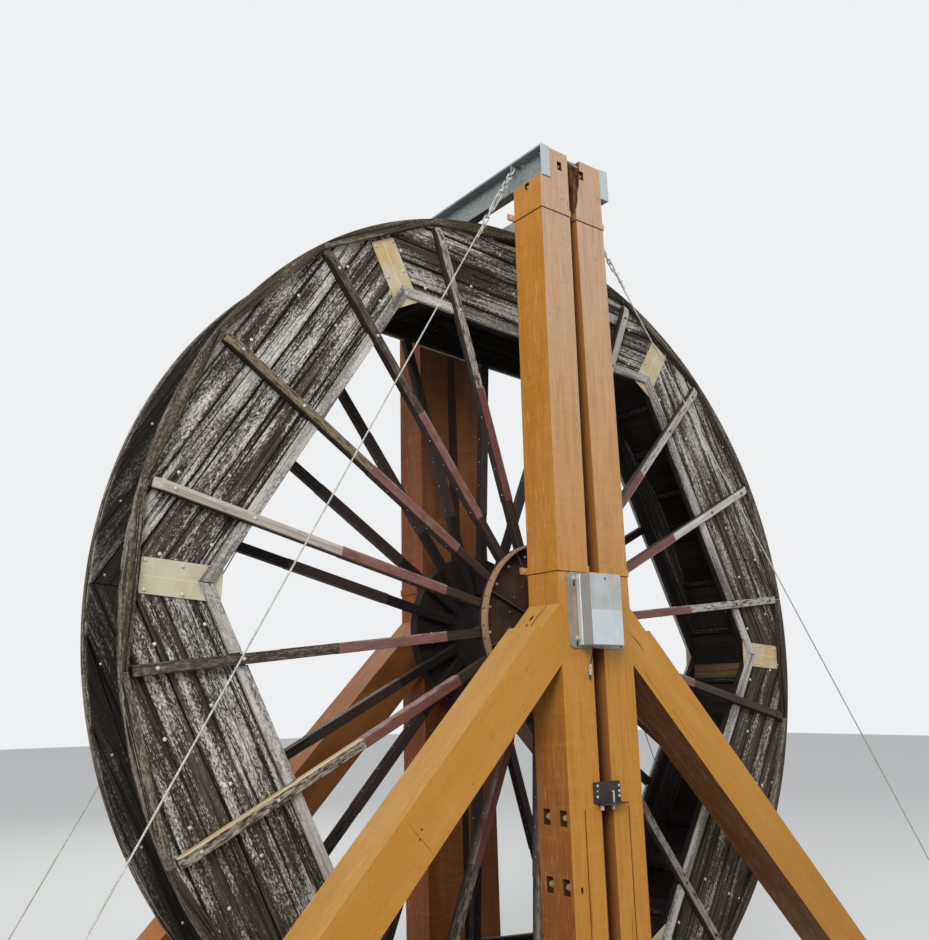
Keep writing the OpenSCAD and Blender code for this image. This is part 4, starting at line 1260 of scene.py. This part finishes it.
def timber_marks():
    """Cracks, knots, the left brace's joint with its two plugs, and nail marks."""
    b, lines = Build(), Build()
    slope = on_brace(-1, 0.0, 0.115, "slope")
    crack(b, slope, 0.25, 0.011)
    knot(b, at(slope, 0.12, 0.055), 0.06, 0.026)
    knot(b, at(slope, 0.19, 0.052), 0.028, 0.018)
    joint_top, joint_front = (on_brace(-1, 1.745, 0.0, face) for face in ("slope", "front"))
    crack(lines, lambda a, c, h: joint_top(-c, 0.01 + a, h), 0.26, 0.0035, 5, 0)
    crack(lines, lambda a, c, h: joint_front(c, -a, h), 0.27, 0.004, 5, 0)
    for s, t in ((1.706, 0.105), (1.752, 0.13)):
        knot(lines, on_brace(-1, s, t, "front"), 0.018, 0.012)
    crack(b, on_brace(1, 0.085, 0.125, "front"), 0.215, 0.007)
    knot(b, facing_y(-0.262, -POST_FRONT, 1.559), 0.026, 0.05)
    for x, z in ((-0.318, 3.73), (-0.309, 3.722), (-0.317, 3.712), (-0.31, 3.704)):
        knot(b, facing_y(x, -POST_FRONT, z), 0.006, 0.008)
    b.make("timber_marks", "dark", "frame")
    lines.make("timber_joint", "brown", "frame")


def box_cable():
    """A short cable below the box with a shackle and its pin."""
    x, y = -0.094, -POST_FRONT - 0.012
    b = Build()
    b.tube([(x + 0.012, y - 0.02, 3.03), (x + 0.01, y - 0.012, 2.97), (x + 0.002, y - 0.002, 2.925),
            (x, y, 2.905)], 0.004, 8)
    tip = ((0.0045, 0), (0.0065, 0.004), (0.006, 0.03), (0.004, 0.034))
    b.turned(tip, facing_up(x - 0.006, y, 2.814), 8)
    b.make("box_cable", "black", "frame", (), "black_steel", True)
    b = Build()
    b.turned(((0.008, 0), (0.008, 0.016), (0.005, 0.02)), facing_up(x + 0.001, y, 2.894), 10)
    body = ((0.007, 0), (0.008, 0.006), (0.008, 0.022), (0.004, 0.026))
    b.turned(body, facing_up(x - 0.004, y, 2.846), 10)
    bow = Vector((x - 0.001, y, 2.884))
    b.tube(loop(bow, Vector(ALONG_H), Vector(ALONG_Y), 0.02, 0.008), 0.0035, 8, True)
    b.make("box_shackle", "bolt", "frame", (), "galvanised_steel", True)


# Stage


def floor(reach=60):
    """Pale plain floor that throws back less light than it shows."""
    me = bpy.data.meshes.new("floor")
    me.from_pydata([(x, y, 0) for x, y in box(2 * reach, 2 * reach)], [], [(0, 1, 2, 3)])
    ob = bpy.data.objects.new("floor", me)
    bpy.context.scene.collection.objects.link(ob)
    s = Shader("floor", rough=0.9, spec=0.2)
    s.done(s.mix(s.seen(), (0.36, 0.355, 0.34, 1), (0.7, 0.7, 0.685, 1)))
    me.materials.append(s.mat)


def sky(light=0.66, shown=1.0):
    """Even pale sky, shown a little brighter than it lights."""
    world = bpy.data.worlds.new("studio")
    bpy.context.scene.world = world
    s = Nodes(world)
    lit = s.nt.nodes["Background"]
    s.put(lit.inputs["Color"], (0.95, 0.97, 1.0, 1))
    s.put(lit.inputs["Strength"], light)
    plain = s.node("ShaderNodeBackground", {"Color": (0.86, 0.87, 0.88, 1), "Strength": shown})
    mixer = s.node("ShaderNodeMixShader", {0: s.seen(), 1: lit.outputs[0], 2: plain.outputs[0]})
    s.put(s.nt.nodes["World Output"].inputs[0], mixer.outputs[0])


def lamp(name, place, power, aim=(0, 0, 3), size=8):
    data = bpy.data.lights.new(name, "AREA")
    data.energy = power
    data.size = size
    ob = bpy.data.objects.new(name, data)
    bpy.context.scene.collection.objects.link(ob)
    ob.location = place
    ob.rotation_mode = "QUATERNION"
    ob.rotation_quaternion = (Vector(aim) - Vector(place)).to_track_quat("-Z", "Y")


def camera(place, heading, pitch, roll, lens, shift):
    """The photograph's camera: heading clockwise from +y and pitch upward, in degrees."""
    az, pitch, roll = math.radians(heading), math.radians(pitch), math.radians(roll)
    look = Vector((math.sin(az) * math.cos(pitch), math.cos(az) * math.cos(pitch), math.sin(pitch)))
    right = Vector((math.cos(az), -math.sin(az), 0))
    up = right.cross(look)
    across = right * math.cos(roll) + up * math.sin(roll)
    above = -right * math.sin(roll) + up * math.cos(roll)
    data = bpy.data.cameras.new("camera")
    ob = bpy.data.objects.new("camera", data)
    bpy.context.scene.collection.objects.link(ob)
    bpy.context.scene.camera = ob
    ob.matrix_world = Matrix.Translation(place) @ Matrix((across, above, -look)).transposed().to_4x4()
    data.sensor_width = 36
    data.lens = lens
    data.shift_x, data.shift_y = shift
    data.clip_end = 200


def main():
    for side, word in SIDES:
        for section in (ring_planks, ring_bolts, rim_boards, trim_boards, corner_plates, spokes,
                        hub_details):
            section(side, word)
    for section in (sole_planks, riser_planks, bucket_planks, dress_nodes, control_box, latch):
        section()
    for side, word in SIDES:
        for hand, hand_word in HANDS:
            chain(side, hand, word + "_" + hand_word)
            rope(side, hand, word + "_" + hand_word)
    for section in (turnbuckles, frame_bolts, strap_shadows, timber_marks, box_cable, floor, sky):
        section()
    lamp("key", (-12, -10, 12), power=2300)
    lamp("fill", (11, -9, 8), power=250)
    lamp("rear", (3, 13, 11), power=450)
    camera((-4.6532, -5.1153, 2.6979), heading=35.894, pitch=12.233, roll=-0.821, lens=35.667,
           shift=(0.0674, 0.0308))
    bpy.context.scene.view_settings.view_transform = "Standard"


main()
